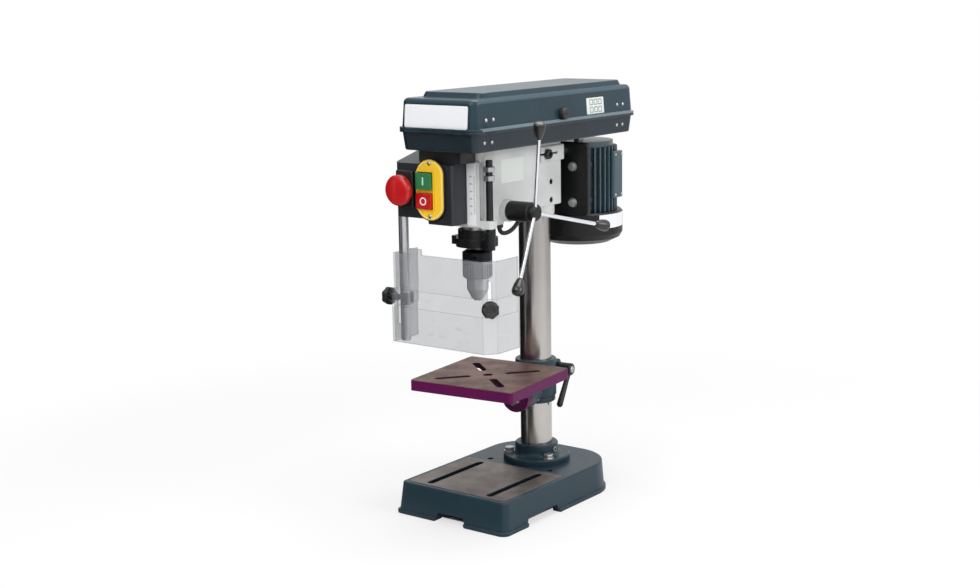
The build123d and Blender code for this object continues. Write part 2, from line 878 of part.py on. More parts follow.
def quill_bearings():
    rings = Part()
    for low in (quill_bottom + move_gap, quill_top - bearing_width - move_gap):
        ring = disc(bearing_outer - seat_gap, low, low + bearing_width, 0, spindle_y)
        ring -= disc(bearing_inner + run_fit, low - cut_over, low + bearing_width + cut_over, 0, spindle_y)
        groove = Pos(0, spindle_y, low + bearing_width) * extrude(
            Circle(bearing_outer - bearing_width / 3) - Circle(bearing_inner + bearing_width / 3),
            -bearing_width / 8,
        )
        rings += ring - groove
    return rings


def splines(extra):
    """Cross-section of the splined end, grown by extra on every side."""
    section = Sketch() + Circle(spindle_radius - spline_depth + extra)
    for index in range(spline_count):
        tooth = Pos(spindle_radius / 2, 0) * Rectangle(
            spindle_radius + extra * 2, spline_width + extra * 2
        )
        section += Rot(0, 0, index * 360 / spline_count) * tooth
    return section & Circle(spindle_radius + extra)


def spindle():
    body = disc(spindle_radius, chuck_top, spline_from)
    flange_top = quill_bottom - move_gap
    body += disc(spindle_shoulder, chuck_top, flange_top)
    body += Pos(0, 0, spline_from) * extrude(splines(0), spindle_top - spline_from)
    return Pos(0, spindle_y, 0) * body


def chuck_body():
    points = (
        (0, chuck_top),
        (chuck_core - move_gap * 4, chuck_top),
        (chuck_radius, chuck_top - bearing_width / 2),
        (chuck_radius, chuck_cap_bottom),
        (chuck_core, chuck_cap_bottom),
        (chuck_core, nose_bottom),
        (nose_tip_radius, nose_tip),
        (0, nose_tip),
    )
    body = turned(points)
    body -= disc(chuck_bore, nose_tip - cut_over, chuck_cap_bottom - bearing_width)
    for index in range(3):
        hole = jaw_bore(jaw_radius + move_gap)
        body -= Rot(0, 0, index * 120) * hole
        drill = bar_along_x(
            key_hole_radius, chuck_radius - key_hole_depth, chuck_radius + cut_over, 0, key_hole_z
        )
        body -= Rot(0, 0, index * 120 + 60) * drill
    return Pos(0, spindle_y, 0) * body


def jaw_axis():
    """Plane whose normal runs up along a jaw's slanted axis in the +X direction."""
    lean = radians(jaw_angle)
    return Plane(origin=(jaw_tip_offset, 0, jaw_tip_z), z_dir=(sin(lean), 0, cos(lean)))


def jaw_bore(radius):
    top = (chuck_cap_bottom - jaw_tip_z) / cos(radians(jaw_angle)) - radius
    return extrude(jaw_axis().offset(-cut_over) * Circle(radius), top + cut_over)


def chuck_jaw(index):
    jaw = extrude(jaw_axis().offset(-cut_over) * Circle(jaw_radius), jaw_length + cut_over)
    far = chuck_radius * 2
    jaw -= block(-far, far, -far, far, 0, jaw_tip_z)
    for side in (-1, 1):
        jaw -= Rot(0, 0, side * 30) * block(-far, jaw_face, -far, far, 0, chuck_top)
    return Pos(0, spindle_y, 0) * Rot(0, 0, index * 120) * jaw


def chuck_sleeve():
    top = chuck_cap_bottom - move_gap
    body = disc(chuck_radius, sleeve_bottom, top)
    body = chamfer(body.edges().group_by(Axis.Z)[0], sleeve_tooth_depth * 2)
    floor = sleeve_bottom + sleeve_tooth
    body -= disc(sleeve_bore, floor, top + cut_over)
    body -= disc(chuck_core + move_gap / 2, sleeve_bottom - cut_over, floor + cut_over)
    for index in range(sleeve_teeth):
        notch = block(
            chuck_radius - sleeve_tooth_depth, chuck_radius + cut_over,
            -sleeve_tooth / 2, sleeve_tooth / 2, sleeve_bottom - cut_over, top - sleeve_tooth * 2,
        )
        body -= Rot(0, 0, index * 360 / sleeve_teeth) * notch
    return Pos(0, spindle_y, 0) * body


def depth_arm():
    plate_top = arm_bottom + arm_plate
    arm = disc(arm_plate_radius, arm_bottom, plate_top)
    arm += disc(arm_ring_radius, arm_bottom, arm_top)
    reach = hypot(rod_x, rod_ahead)
    angle = degrees(atan2(-rod_ahead, rod_x))
    lug = block(0, reach, -rod_block, rod_block, arm_bottom, plate_top)
    post = disc(rod_block, arm_bottom, arm_top, reach, 0)
    arm += Rot(0, 0, angle) * (lug + post)
    ear = block(-clamp_ear_reach, 0, -rod_block, rod_block, arm_bottom, plate_top)
    arm += fillet(ear.edges().filter_by(Axis.Z), rod_block / 3)
    top_edges = arm.edges().group_by(Axis.Z)[-1]
    arm = chamfer(top_edges, spline_depth / 2)
    arm -= disc(quill_radius, arm_bottom - cut_over, arm_top + cut_over)
    arm -= block(
        -clamp_ear_reach - cut_over, -quill_radius + move_gap, -spline_depth, spline_depth,
        arm_bottom - cut_over, arm_top + cut_over,
    )
    arm -= Rot(0, 0, angle) * disc(rod_radius, arm_bottom - cut_over, arm_top + cut_over, reach, 0)
    return Pos(0, spindle_y, 0) * arm


def depth_rod():
    y = spindle_y - rod_ahead
    rod = disc(rod_radius, rod_bottom, rod_top, rod_x, y)
    return chamfer(rod.edges().filter_by(GeomType.CIRCLE), rod_radius / 6)


def depth_nuts():
    y = spindle_y - rod_ahead
    nuts = Part()
    for z in (nut_low_z, nut_high_z):
        nut = hexagon(nut_radius, z, z + nut_height, rod_x, y)
        nut = chamfer(nut.edges().group_by(Axis.Z)[-1] + nut.edges().group_by(Axis.Z)[0], nut_height / 10)
        nuts += nut - disc(rod_radius + run_fit, z - cut_over, z + nut_height + cut_over, rod_x, y)
    return nuts


def scale_bracket():
    """Scale plate on the head's front face, with the guide that the depth rod runs through."""
    y = spindle_y - rod_ahead
    front = -head_front - scale_thick
    plate = block(scale_left, scale_right, front, -head_front, scale_bottom, scale_top)
    edge_x = head_half_width + move_gap
    guide = block(
        edge_x, rod_x + guide_half, y - guide_half, y + guide_half,
        guide_bottom, guide_bottom + guide_height,
    )
    guide = fillet(guide.edges().filter_by(Axis.Z).group_by(Axis.X)[-1], guide_half / 2)
    body = plate + guide
    channel = disc(rod_radius + nut_radius, guide_bottom + guide_height, scale_top + cut_over, rod_x, y)
    body -= channel
    body -= disc(rod_radius + move_gap, guide_bottom - cut_over, scale_top + cut_over, rod_x, y)
    return body


# Feed shaft, handle and return spring
def pinion_section():
    """Gear outline with flanks on the involute of the pitch circle."""
    base_circle = pinion_pitch * cos(radians(pressure_angle))
    tip = pinion_pitch + tooth_rise * pinion_module
    root = pinion_pitch - (tooth_fall + tooth_rise / 8) * pinion_module
    half_angle = (pi / 2 - tooth_backlash / pinion_module) / pinion_teeth
    at_pitch = tan(radians(pressure_angle)) - radians(pressure_angle)
    flank = []
    steps = 6
    for index in range(steps + 1):
        radius = base_circle + (tip - base_circle) * index / steps
        turn = acos(min(1, base_circle / radius))
        flank.append((radius, half_angle + at_pitch - (tan(turn) - turn)))
    flank.insert(0, (root, flank[0][1]))
    points = []
    for tooth in range(pinion_teeth):
        middle = tooth * 2 * pi / pinion_teeth
        for radius, half in flank:
            points.append((radius * cos(middle - half), radius * sin(middle - half)))
        for radius, half in reversed(flank):
            points.append((radius * cos(middle + half), radius * sin(middle + half)))
    return make_face(Polyline(*points, close=True))


def feed_shaft():
    left = -head_half_width - spring_cap_length + spring_wall * 2
    right = hub_start + hub_length / 2
    shaft = bar_along_x(feed_journal, left, -rack_width, feed_y, feed_z)
    shaft += bar_along_x(feed_journal, rack_width, right, feed_y, feed_z)
    side = Plane(origin=(-rack_width, feed_y, feed_z), x_dir=(0, -1, 0), z_dir=(1, 0, 0))
    return shaft + extrude(side * pinion_section(), rack_width * 2)


def feed_hub():
    end = hub_start + hub_length
    step = end - hub_step
    hub = bar_along_x(hub_radius, hub_start, step, feed_y, feed_z)
    hub = chamfer(hub.edges().filter_by(GeomType.CIRCLE), hub_radius / 14)
    nose = bar_along_x(hub_step_radius, step, end, feed_y, feed_z)
    hub += fillet(nose.edges().group_by(Axis.X)[-1], hub_step_radius * 2 / 5)
    hub -= bar_along_x(feed_journal, hub_start - cut_over, hub_start + hub_length / 2, feed_y, feed_z)
    for index in range(3):
        hub -= spoke(index, spoke_radius, hub_step_radius * 2)
    return hub


def spoke_plane(index):
    """Plane at a spoke's root on the hub axis, its normal along the spoke."""
    angle = radians(spoke_lean + index * 120)
    length = hypot(spoke_reach, spoke_flare)
    direction = (
        spoke_flare / length,
        -spoke_reach / length * sin(angle),
        spoke_reach / length * cos(angle),
    )
    return Plane(origin=(spoke_root_x, feed_y, feed_z), z_dir=direction), length


def spoke(index, radius, length):
    plane, full = spoke_plane(index)
    return extrude(plane.offset(hub_step_radius / 2) * Circle(radius), length - hub_step_radius / 2)


def feed_spokes():
    spokes = Part()
    for index in range(3):
        full = spoke_plane(index)[1]
        spokes += spoke(index, spoke_radius, full)
    return spokes


def feed_knobs():
    knobs = Part()
    for index in range(3):
        plane, full = spoke_plane(index)
        start = plane.offset(full - knob_length / 2)
        profile = Plane.XZ * make_face(Polyline(
            (0, 0),
            (knob_radius * 3 / 4, 0),
            (knob_radius, knob_length / 5),
            (knob_radius, knob_length * 4 / 5),
            (knob_radius * 3 / 4, knob_length),
            (0, knob_length),
            close=True,
        ))
        knob = revolve(profile, Axis.Z)
        rims = knob.edges().filter_by(GeomType.CIRCLE)
        knob = fillet(rims, knob_radius / 5)
        knob = start.location * knob
        knobs += knob - spoke(index, spoke_radius, full)
    return knobs


def spring_cap():
    inner = -head_half_width
    outer = inner - spring_cap_length
    cap = bar_along_x(spring_cap_radius, outer, inner, feed_y, feed_z)
    cap = fillet(cap.edges().group_by(Axis.X)[0], spring_wall)
    hollow = spring_cap_radius - spring_wall
    return cap - bar_along_x(hollow, outer + spring_wall, inner + cut_over, feed_y, feed_z)


def return_spring():
    """Flat spiral spring of half turns, each a little wider than the last."""
    step = spring_pitch / 2
    start = Plane(
        origin=(-head_half_width - spring_wall * 2 - spring_width / 2, feed_y, feed_z),
        x_dir=(0, 1, 0), z_dir=(1, 0, 0),
    )
    edges = []
    radius = spring_start_radius
    centre = 0
    for half in range(spring_turns * 2):
        side = 1 if half % 2 == 0 else -1
        edges.append(CenterArc((centre, 0), radius, 0 if side > 0 else 180, 180))
        centre += side * step
        radius += step
    path = start * Wire(edges)
    strip = Plane(origin=path @ 0, x_dir=(1, 0, 0), z_dir=path % 0)
    spring = sweep(strip * Rectangle(spring_width, spring_strip), path)
    least = spring_pitch - spring_strip
    share = spring.volume / (path.length * spring_width * spring_strip)
    print("return spring: least gap between turns", round(least, 3), "mm, volume share", round(share, 4))
    return spring


# Pulleys and belt
def stepped_pulley(radii):
    """Stepped pulley about Z: radii of its grooves' outer edges, from the bottom up."""
    points = [(0, pulley_bottom)]
    for index, radius in enumerate(radii):
        low = pulley_bottom + index * pulley_step
        middle = low + pulley_step / 2
        points += [
            (radius, low),
            (radius, middle - groove_outer / 2),
            (radius - groove_depth, middle - groove_inner / 2),
            (radius - groove_depth, middle + groove_inner / 2),
            (radius, middle + groove_outer / 2),
            (radius, low + pulley_step),
        ]
    points.append((0, pulley_top))
    return turned(points)


def spindle_pulley():
    radii = [pulley_large - pulley_grow * index for index in range(pulley_count)]
    body = stepped_pulley(radii)
    low = head_top - pulley_bearing_width * 2 - move_gap
    body += disc(sleeve_radius, low, pulley_bottom)
    gap = move_gap / 2
    body -= Pos(0, 0, low - cut_over) * extrude(splines(gap), pulley_top - low + cut_over * 2)
    return Pos(0, spindle_y, 0) * body


def pulley_bearings():
    rings = Part()
    for index in (1, 2):
        low = head_top - pulley_bearing_width * index
        ring = disc(pulley_bearing_outer, low, low + pulley_bearing_width - seat_gap, 0, spindle_y)
        rings += ring - disc(sleeve_radius + run_fit, low - cut_over, head_top + cut_over, 0, spindle_y)
    return rings


def motor_pulley():
    radii = [pulley_small + pulley_grow * index for index in range(pulley_count)]
    body = stepped_pulley(radii)
    body -= disc(rotor_radius, pulley_bottom - cut_over, pulley_top + cut_over)
    return Pos(0, motor_reach, 0) * body


def belt_loop(grow):
    """Plan outline of the belt's loop round both pulleys, grow past its grooves' edges."""
    front = spindle_belt_radius + grow
    back = motor_belt_radius + grow
    span = spindle_reach + motor_reach
    angle = asin((front - back) / span)
    points = []
    for side in (1, -1):
        points.append((side * front * cos(angle), spindle_y + front * sin(angle)))
        points.append((side * back * cos(angle), motor_reach + back * sin(angle)))
    front_arc = ThreePointArc(points[0], (0, spindle_y - front), points[2])
    back_arc = ThreePointArc(points[3], (0, motor_reach + back), points[1])
    return make_face([Line(points[1], points[0]), front_arc, Line(points[2], points[3]), back_arc])


def v_belt():
    outer = belt_loop(-belt_inset)
    low = belt_z - belt_height / 2
    depth = groove_depth - belt_inset - move_gap * 2
    inner = belt_loop(-belt_inset - depth)
    height = groove_outer - (groove_outer - groove_inner) * belt_inset / groove_depth - move_gap * 3
    narrow = groove_inner - move_gap
    ring = Pos(0, 0, belt_z - narrow / 2) * extrude(outer - inner, narrow)
    half = belt_loop(-belt_inset - depth / 2)
    return ring + Pos(0, 0, belt_z - height / 2 + move_gap) * extrude(
        outer - belt_loop(-belt_inset - depth / 3), height - move_gap * 2
    )


# Belt cover
def cover_plan(grow):
    return outline(
        cover_half_width + grow, cover_front + grow, cover_rear + grow,
        cover_corner + grow, cover_corner + grow,
    )


def belt_tray():
    rim_low = tray_top
    body = drafted(cover_plan(-cover_draft), cover_plan(0), tray_bottom, rim_low + rim_thick)
    bottom = body.edges().group_by(Axis.Z)[0]
    body = fillet(bottom, cover_wall)
    body += prism(cover_plan(rim_out), rim_low, rim_low + rim_thick)
    inner = drafted(
        cover_plan(-cover_draft - cover_wall), cover_plan(-cover_wall),
        tray_bottom + cover_wall, rim_low + rim_thick + cut_over,
    )
    body -= inner
    body -= disc(tray_mouth, tray_bottom - cut_over, tray_top, 0, spindle_y)
    mouth = motor_slide_travel + rotor_radius + move_gap * 4
    slot = SlotOverall(mouth * 2, (rotor_radius + move_gap * 6) * 2, 90)
    body -= Pos(0, motor_reach, tray_bottom - cut_over) * extrude(slot, tray_top - tray_bottom)
    return body + hinge_leaves(-1)


def hinge_leaves(side):
    """Knuckles on the left edge: the tray's hold the pin's ends, the lid's its middle."""
    x = hinge_x
    z = hinge_z
    third = hinge_length / 3
    knuckles = Part()
    for middle in (-hinge_front, hinge_rear):
        if side > 0:
            spans = ((middle - third / 2 + move_gap, middle + third / 2 - move_gap),)
        else:
            spans = (
                (middle - hinge_length / 2, middle - third / 2),
                (middle + third / 2, middle + hinge_length / 2),
            )
        for y0, y1 in spans:
            barrel = bar_along_y(hinge_radius, y0, y1, x, z)
            reach = x + hinge_radius + move_gap + rim_out
            if side > 0:
                leaf = block(x, reach, y0, y1, z + lid_gap, z + hinge_radius)
            else:
                leaf = block(x, reach, y0, y1, z - hinge_radius, z - lid_gap)
            knuckles += barrel + leaf
        radius = hinge_pin + (run_fit if side > 0 else 0)
        knuckles -= bar_along_y(
            radius, middle - hinge_length / 2 - cut_over, middle + hinge_length / 2 + cut_over, x, z
        )
    return knuckles


def lid_hinge_pins():
    pins = Part()
    for middle in (-hinge_front, hinge_rear):
        low = middle - hinge_length / 2
        pins += bar_along_y(hinge_pin, low, low + hinge_length, hinge_x, hinge_z)
    return pins


def belt_lid():
    low = cover_z
    body = drafted(cover_plan(0), cover_plan(-lid_draft), low, lid_top)
    body = fillet(body.edges().group_by(Axis.Z)[-1], lid_edge)
    body += prism(cover_plan(rim_out), low, low + rim_thick)
    raised = outline(
        cover_half_width - plateau_inset, cover_front - plateau_front_inset,
        cover_rear - plateau_inset, cover_corner, cover_corner,
    )
    top = outline(
        cover_half_width - plateau_inset - plateau_draft,
        cover_front - plateau_front_inset - plateau_draft,
        cover_rear - plateau_inset - plateau_draft,
        cover_corner - plateau_draft, cover_corner - plateau_draft,
    )
    plateau = drafted(raised, top, lid_top - cover_wall, lid_top + plateau_rise)
    body += fillet(plateau.edges().group_by(Axis.Z)[-1], plateau_draft / 3)
    hollow = outline(
        cover_half_width - plateau_inset - plateau_draft - cover_wall,
        cover_front - plateau_front_inset - plateau_draft - cover_wall,
        cover_rear - plateau_inset - plateau_draft - cover_wall,
        cover_corner - plateau_draft - cover_wall, cover_corner - plateau_draft - cover_wall,
    )
    body -= prism(hollow, lid_top - cut_over, lid_top + plateau_rise - cover_wall)
    inner = drafted(
        cover_plan(-cover_wall), cover_plan(-lid_draft - cover_wall), low - cut_over, lid_top - cover_wall
    )
    body -= fillet(inner.edges().group_by(Axis.Z)[-1], lid_edge - cover_wall)
    body -= bar_along_x(
        lid_lock_shank + run_fit, 0, cover_half_width + cut_over, lid_lock_y, lid_lock_z
    )
    return body + hinge_leaves(1)


def lid_lock_screw():
    """Quarter-turn lock: a slotted head outside the lid's wall and a cam blade inside it."""
    head_low = lid_lock_z - lid_lock_radius - cover_z
    outer = cover_half_width - lid_draft * head_low / lid_height + move_gap
    head = bar_along_x(lid_lock_radius, outer, outer + lid_lock_length, lid_lock_y, lid_lock_z)
    head = fillet(head.edges().group_by(Axis.X)[-1], lid_lock_length / 4)
    inner = outer - cover_wall * 3 / 2 - move_gap * 2
    shank = bar_along_x(lid_lock_shank, inner - lid_cam_thick, outer, lid_lock_y, lid_lock_z)
    shank += block(
        inner - lid_cam_thick, inner, lid_lock_y - lid_lock_shank, lid_lock_y + lid_lock_shank,
        lid_lock_z - lid_cam_length, lid_lock_z + lid_lock_shank,
    )
    slot = block(
        outer + lid_lock_length * 3 / 4, outer + lid_lock_length + cut_over,
        lid_lock_y - lid_lock_radius, lid_lock_y + lid_lock_radius,
        lid_lock_z - lid_lock_shank / 3, lid_lock_z + lid_lock_shank / 3,
    )
    return head + shank - slot


# Motor
def motor_body():
    section = Sketch() + Circle(motor_core)
    for index in range(motor_fins):
        fin = Pos(motor_radius / 2 + motor_core / 4, 0) * Rectangle(
            motor_radius - motor_core / 2, motor_fin
        )
        section += Rot(0, 0, (index + 1 / 2) * 360 / motor_fins) * fin
    section = section & Circle(motor_radius)
    body = prism(section, motor_low, motor_high - motor_cap)
    body += disc(motor_cap_radius, motor_high - motor_cap, motor_high)
    for x in (-motor_bolt_x, motor_bolt_x):
        for z in motor_bolt_z:
            face = motor_plate_front + motor_plate_thick - motor_reach
            body += bar_along_y(motor_pad, face, 0, x, z)
            body -= bar_along_y(motor_bolt, face - cut_over, face + motor_pad, x, z)
    body -= disc(rotor_radius + run_fit, motor_low - cut_over, motor_high + cut_over)
    return Pos(0, motor_reach, 0) * body


def motor_end_bell():
    points = (
        (0, bell_bottom),
        (bell_floor_radius, bell_bottom),
        (bell_radius * 15 / 16, (bell_bottom + bell_straight) / 2),
        (bell_radius, bell_straight),
        (bell_radius, motor_low - bell_wall),
        (bell_radius - bell_wall, motor_low),
        (0, motor_low),
    )
    inner = (
        (0, bell_bottom + bell_wall),
        (bell_floor_radius - bell_wall, bell_bottom + bell_wall),
        (bell_radius - bell_wall * 2, (bell_bottom + bell_straight) / 2 + bell_wall / 2),
        (bell_radius - bell_wall, bell_straight),
        (bell_radius - bell_wall, motor_low - bell_wall),
        (0, motor_low - bell_wall),
    )
    body = turned(points) - turned(inner)
    for index in range(bell_vents):
        vent = block(
            vent_inner, bell_floor_radius - bell_wall * 2, -vent_width / 2, vent_width / 2,
            bell_bottom - cut_over, bell_bottom + cut_over,
        )
        body -= Rot(0, 0, index * 360 / bell_vents) * vent
    body -= disc(rotor_radius + run_fit, motor_low - cut_over, motor_low + cut_over)
    return Pos(0, motor_reach, 0) * body


def motor_rotor():
    shaft = disc(rotor_radius, rotor_low, rotor_high)
    shaft = chamfer(shaft.edges().filter_by(GeomType.CIRCLE), rotor_radius / 8)
    return Pos(0, motor_reach, 0) * shaft


def motor_fan():
    fan_top = fan_low + fan_height
    fan = disc(fan_hub, fan_low, fan_top) + disc(fan_radius, fan_top - fan_blade, fan_top)
    for index in range(fan_blades):
        blade = block(fan_hub / 2, fan_radius, -fan_blade / 2, fan_blade / 2, fan_low, fan_top)
        fan += Rot(0, 0, index * 360 / fan_blades) * blade
    fan -= disc(rotor_radius, fan_low - cut_over, fan_top + cut_over)
    return Pos(0, motor_reach, 0) * fan


def motor_plate():
    back = motor_plate_front + motor_plate_thick
    plate = block(
        -motor_plate_half, motor_plate_half, motor_plate_front, back,
        motor_plate_low, motor_plate_high,
    )
    plate = fillet(plate.edges().filter_by(Axis.Y), head_corner)
    plate = chamfer(plate.edges().group_by(Axis.Y)[0], motor_plate_thick / 6)
    for x in (-motor_bolt_x, motor_bolt_x):
        for z in motor_bolt_z:
            plate -= bar_along_y(motor_bolt + seat_gap, motor_plate_front - cut_over, back + cut_over, x, z)
    for x in (-bar_x, bar_x):
        plate -= bar_along_y(bar_radius, motor_plate_front - cut_over, back + cut_over, x, bar_z)
    return plate


def motor_plate_bolts():
    bolts = Part()
    for x in (-motor_bolt_x, motor_bolt_x):
        for z in motor_bolt_z:
            bolt = hex_bolt_down(
                motor_bolt, motor_plate_thick + motor_pad, bolt_head_radius * 4 / 5,
                motor_bolt, washer_radius * 4 / 5, washer_thick,
            )
            bolts += Pos(x, motor_plate_front, z) * Rot(90, 0, 0) * bolt
    return bolts


def slide_bars():
    bars = Part()
    for x in (-bar_x, bar_x):
        end = motor_plate_front + motor_plate_thick + bar_radius / 2
        front = -bar_front + motor_slide_travel + move_gap
        bar = bar_along_y(bar_radius, front, end, x, bar_z)
        bars += chamfer(bar.edges().filter_by(GeomType.CIRCLE), bar_radius / 7)
    return bars


def terminal_box():
    box = block(
        motor_core - motor_fin, terminal_out, terminal_front, terminal_rear,
        terminal_low, terminal_high,
    )
    outer = box.edges().group_by(Axis.X)[-1]
    box = fillet(outer, terminal_edge)
    hollow = disc(motor_radius + seat_gap, motor_low, motor_high, 0, motor_reach)
    return box - hollow


# Switch housing and its controls
def switch_housing():
    front = -switch_front
    rear = -head_front - scale_thick - move_gap
    body = block(-switch_step_x, switch_right, front, rear, switch_bottom, switch_top_rear)
    body = fillet(body.edges().filter_by(Axis.Z).group_by(Axis.Y)[0], switch_edge)
    side = block(
        -switch_left, -head_half_width - move_gap, front, -switch_wing_rear,
        switch_wing_bottom, switch_top_rear,
    )
    side = fillet(side.edges().filter_by(Axis.Z).group_by(Axis.X)[0], switch_edge * 2)
    body += side
    # The top slopes down towards the front
    slope = Plane(origin=(-switch_left - cut_over, 0, 0), x_dir=(0, 1, 0), z_dir=(1, 0, 0))
    run = switch_left + switch_right + cut_over * 2
    wedge = Polyline(
        (front - cut_over, switch_top_front),
        (front, switch_top_front),
        (-switch_wing_rear, switch_top_rear),
        (-switch_wing_rear, switch_top_rear + cut_over),
        (front - cut_over, switch_top_rear + cut_over),
        close=True,
    )
    body -= extrude(slope * make_face(wedge), run)
    inner_front = front + switch_wall
    body -= block(
        -switch_left + switch_wall, -head_half_width - switch_wall - move_gap, inner_front,
        -switch_wing_rear - switch_wall, switch_wing_bottom + switch_wall,
        switch_top_front - switch_wall,
    )
    body -= block(
        -switch_step_x, switch_right - switch_wall, inner_front, rear - switch_wall,
        switch_bottom + switch_wall, switch_top_front - switch_wall,
    )
    hood = block(-hood_left, hood_right, -hood_front, rear, hood_bottom, tray_bottom)
    hood = chamfer(hood.edges().filter_by(Axis.Z).group_by(Axis.Y)[0], switch_edge * 2)
    body += hood
    for low, high in ((start_low, start_high), (stop_low, stop_high)):
        body -= block(
            -button_x - button_half - move_gap, -button_x + button_half + move_gap,
            front - cut_over, inner_front + cut_over, low - move_gap, high + move_gap,
        )
    stem_hole = estop_stem_radius + move_gap
    body -= bar_along_y(stem_hole, front - cut_over, inner_front + cut_over, -estop_x, estop_z)
    body -= disc(
        post_stud + seat_gap, switch_wing_bottom - cut_over, switch_wing_bottom + cut_over,
        post_x, -post_ahead,
    )
    return body


def switch_plate():
    front = -switch_front
    middle = -(plate_left + plate_right) / 2
    low_turn = plate_low + plate_corner
    high_turn = plate_high - plate_corner
    edge = Line((-plate_left, high_turn), (-plate_left, low_turn))
    edge += ThreePointArc((-plate_left, low_turn), (middle, plate_low), (-plate_right, low_turn))
    edge += Line((-plate_right, low_turn), (-plate_right, high_turn))
    edge += ThreePointArc((-plate_right, high_turn), (middle, plate_high), (-plate_left, high_turn))
    plane = Plane(origin=(0, front, 0), x_dir=(1, 0, 0), z_dir=(0, -1, 0))
    face = Sketch() + make_face(edge)
    face = fillet(face.vertices(), plate_corner / 3)
    plate = extrude(plane * face, plate_thick)
    plate = chamfer(plate.edges().group_by(Axis.Y)[0], button_edge / 2)
    for low, high in ((start_low, start_high), (stop_low, stop_high)):
        plate -= block(
            -button_x - button_half - move_gap, -button_x + button_half + move_gap,
            front - plate_thick - cut_over, front + cut_over, low - move_gap, high + move_gap,
        )
    return plate


def push_button(low, high):
    front = -switch_front - plate_thick - button_proud
    button = block(
        -button_x - button_half, -button_x + button_half, front, front + button_depth, low, high
    )
    button = fillet(button.edges().filter_by(Axis.Y), button_edge)
    return fillet(button.edges().group_by(Axis.Y)[0], button_edge / 2)


def estop_base():
    front = -switch_front
    base = block(
        -estop_x - estop_plate_out, -estop_x + estop_plate_in, front - estop_plate_thick, front,
        estop_z - estop_plate_half_height, estop_z + estop_plate_half_height,
    )
    base = fillet(base.edges().filter_by(Axis.Y), estop_plate_thick / 2)
    base = chamfer(base.edges().group_by(Axis.Y)[0], estop_plate_thick / 5)
    stem_hole = estop_stem_radius + move_gap
    return base - bar_along_y(stem_hole, front - cut_over * 2, front + cut_over, -estop_x, estop_z)


def estop_button():
    face = -switch_front - estop_plate_thick - estop_stem
    points = (
        (0, 0),
        (estop_stem_radius, 0),
        (estop_stem_radius, estop_stem + estop_socket),
        (estop_cap_radius * 4 / 5, estop_stem + estop_socket),
        (estop_cap_radius, estop_stem + estop_socket + estop_cap_thick / 4),
        (estop_cap_radius, estop_stem + estop_socket + estop_cap_thick - estop_dome),
        (estop_cap_radius * 4 / 5, estop_stem + estop_socket + estop_cap_thick - estop_dome / 4),
        (0, estop_stem + estop_socket + estop_cap_thick),
    )
    cap = turned(points)
    return Pos(-estop_x, face + estop_stem + estop_socket, estop_z) * Rot(90, 0, 0) * cap


# Drill guard
def guard_plan(inset):
    """Open U of the screens in plan: left wall, front, corner face and right wall."""
    left = -guard_left + inset
    right = guard_right - inset
    front = -guard_front + inset
    cut = guard_chamfer - inset * (2 - sqrt(2))
    return (
        (left, -guard_left_rear),
        (left, front),
        (right - cut, front),
        (right, front + cut),
        (right, -guard_side_rear),
    )


def screen(inset, z0, z1):
    outer = guard_plan(inset)
    inner = guard_plan(inset + guard_wall)
    face = make_face(Polyline(*outer, *reversed(inner), close=True))
    return Pos(0, 0, z0) * extrude(face, z1 - z0)


def corner_plane(depth):
    """Plane on the corner face of the guard, its normal pointing out of the guard."""
    half = guard_chamfer / 2
    origin = (guard_right - half, -guard_front + half, 0)
    return Plane(origin=origin, x_dir=(1, 1, 0), z_dir=(1, -1, 0)).offset(depth)


def guard_upper_screen():
    inset = guard_wall + move_gap
    body = screen(inset, upper_bottom, upper_top)
    front = -guard_front + inset
    tab_top = upper_top + upper_tab
    body += block(
        -upper_tab_left - upper_tab_width, -upper_tab_left, front, front + guard_wall,
        upper_top - upper_tab, tab_top,
    )
    ring_low = post_knob_z - clamp_ring_height / 2
    ring_top = ring_low + clamp_ring_height
    slot = corner_plane(cut_over) * Pos(0, (guard_slot_low + guard_slot_high) / 2) * SlotOverall(
        guard_slot_high - guard_slot_low, guard_slot_half * 2, 90
    )
    body -= extrude(slot, -cut_over * 3)
    half = clamp_ring_radius / 2
    clamp = disc(clamp_ring_radius, ring_low, ring_top, post_x, -post_ahead)
    clamp += block(
        -guard_left + inset, post_x, -post_ahead - half, -post_ahead + half, ring_low, ring_top
    )
    clamp += block(post_x - half, post_x + half, front, -post_ahead, ring_low, ring_top)
    body += clamp & block(-guard_left + inset, 0, front, 0, ring_low, ring_top)
    body -= disc(post_radius + run_fit, ring_low - cut_over, ring_top + cut_over, post_x, -post_ahead)
    hole = post_knob_shank + run_fit
    return body - bar_along_x(hole, -guard_left, post_x, -post_ahead, post_knob_z)


def guard_lower_screen():
    body = screen(0, lower_bottom, lower_top)
    half = post_knob_shank + move_gap
    body -= block(
        -guard_left - cut_over, -guard_left + cut_over, -post_ahead - half, -post_ahead + half,
        post_knob_z - guard_lift - half, lower_top + cut_over,
    )
    body -= extrude(
        corner_plane(cut_over) * Pos(0, front_knob_z) * Circle(front_knob_shank + run_fit), -cut_over * 3
    )
    return body


def guard_front_knob():
    at = Pos(0, front_knob_z)
    knob = extrude(corner_plane(move_gap) * at * Circle(front_knob_radius), front_knob_length)
    knob = fillet(knob.edges().filter_by(GeomType.CIRCLE), front_knob_length / 6)
    inner = guard_wall * 2 + move_gap * 2
    shank = extrude(
        corner_plane(move_gap * 2) * at * Circle(front_knob_shank),
        -inner - front_knob_shank - move_gap,
    )
    nut = extrude(corner_plane(-inner) * at * Circle(front_knob_shank * 2), -front_knob_shank)
    return knob + shank + nut


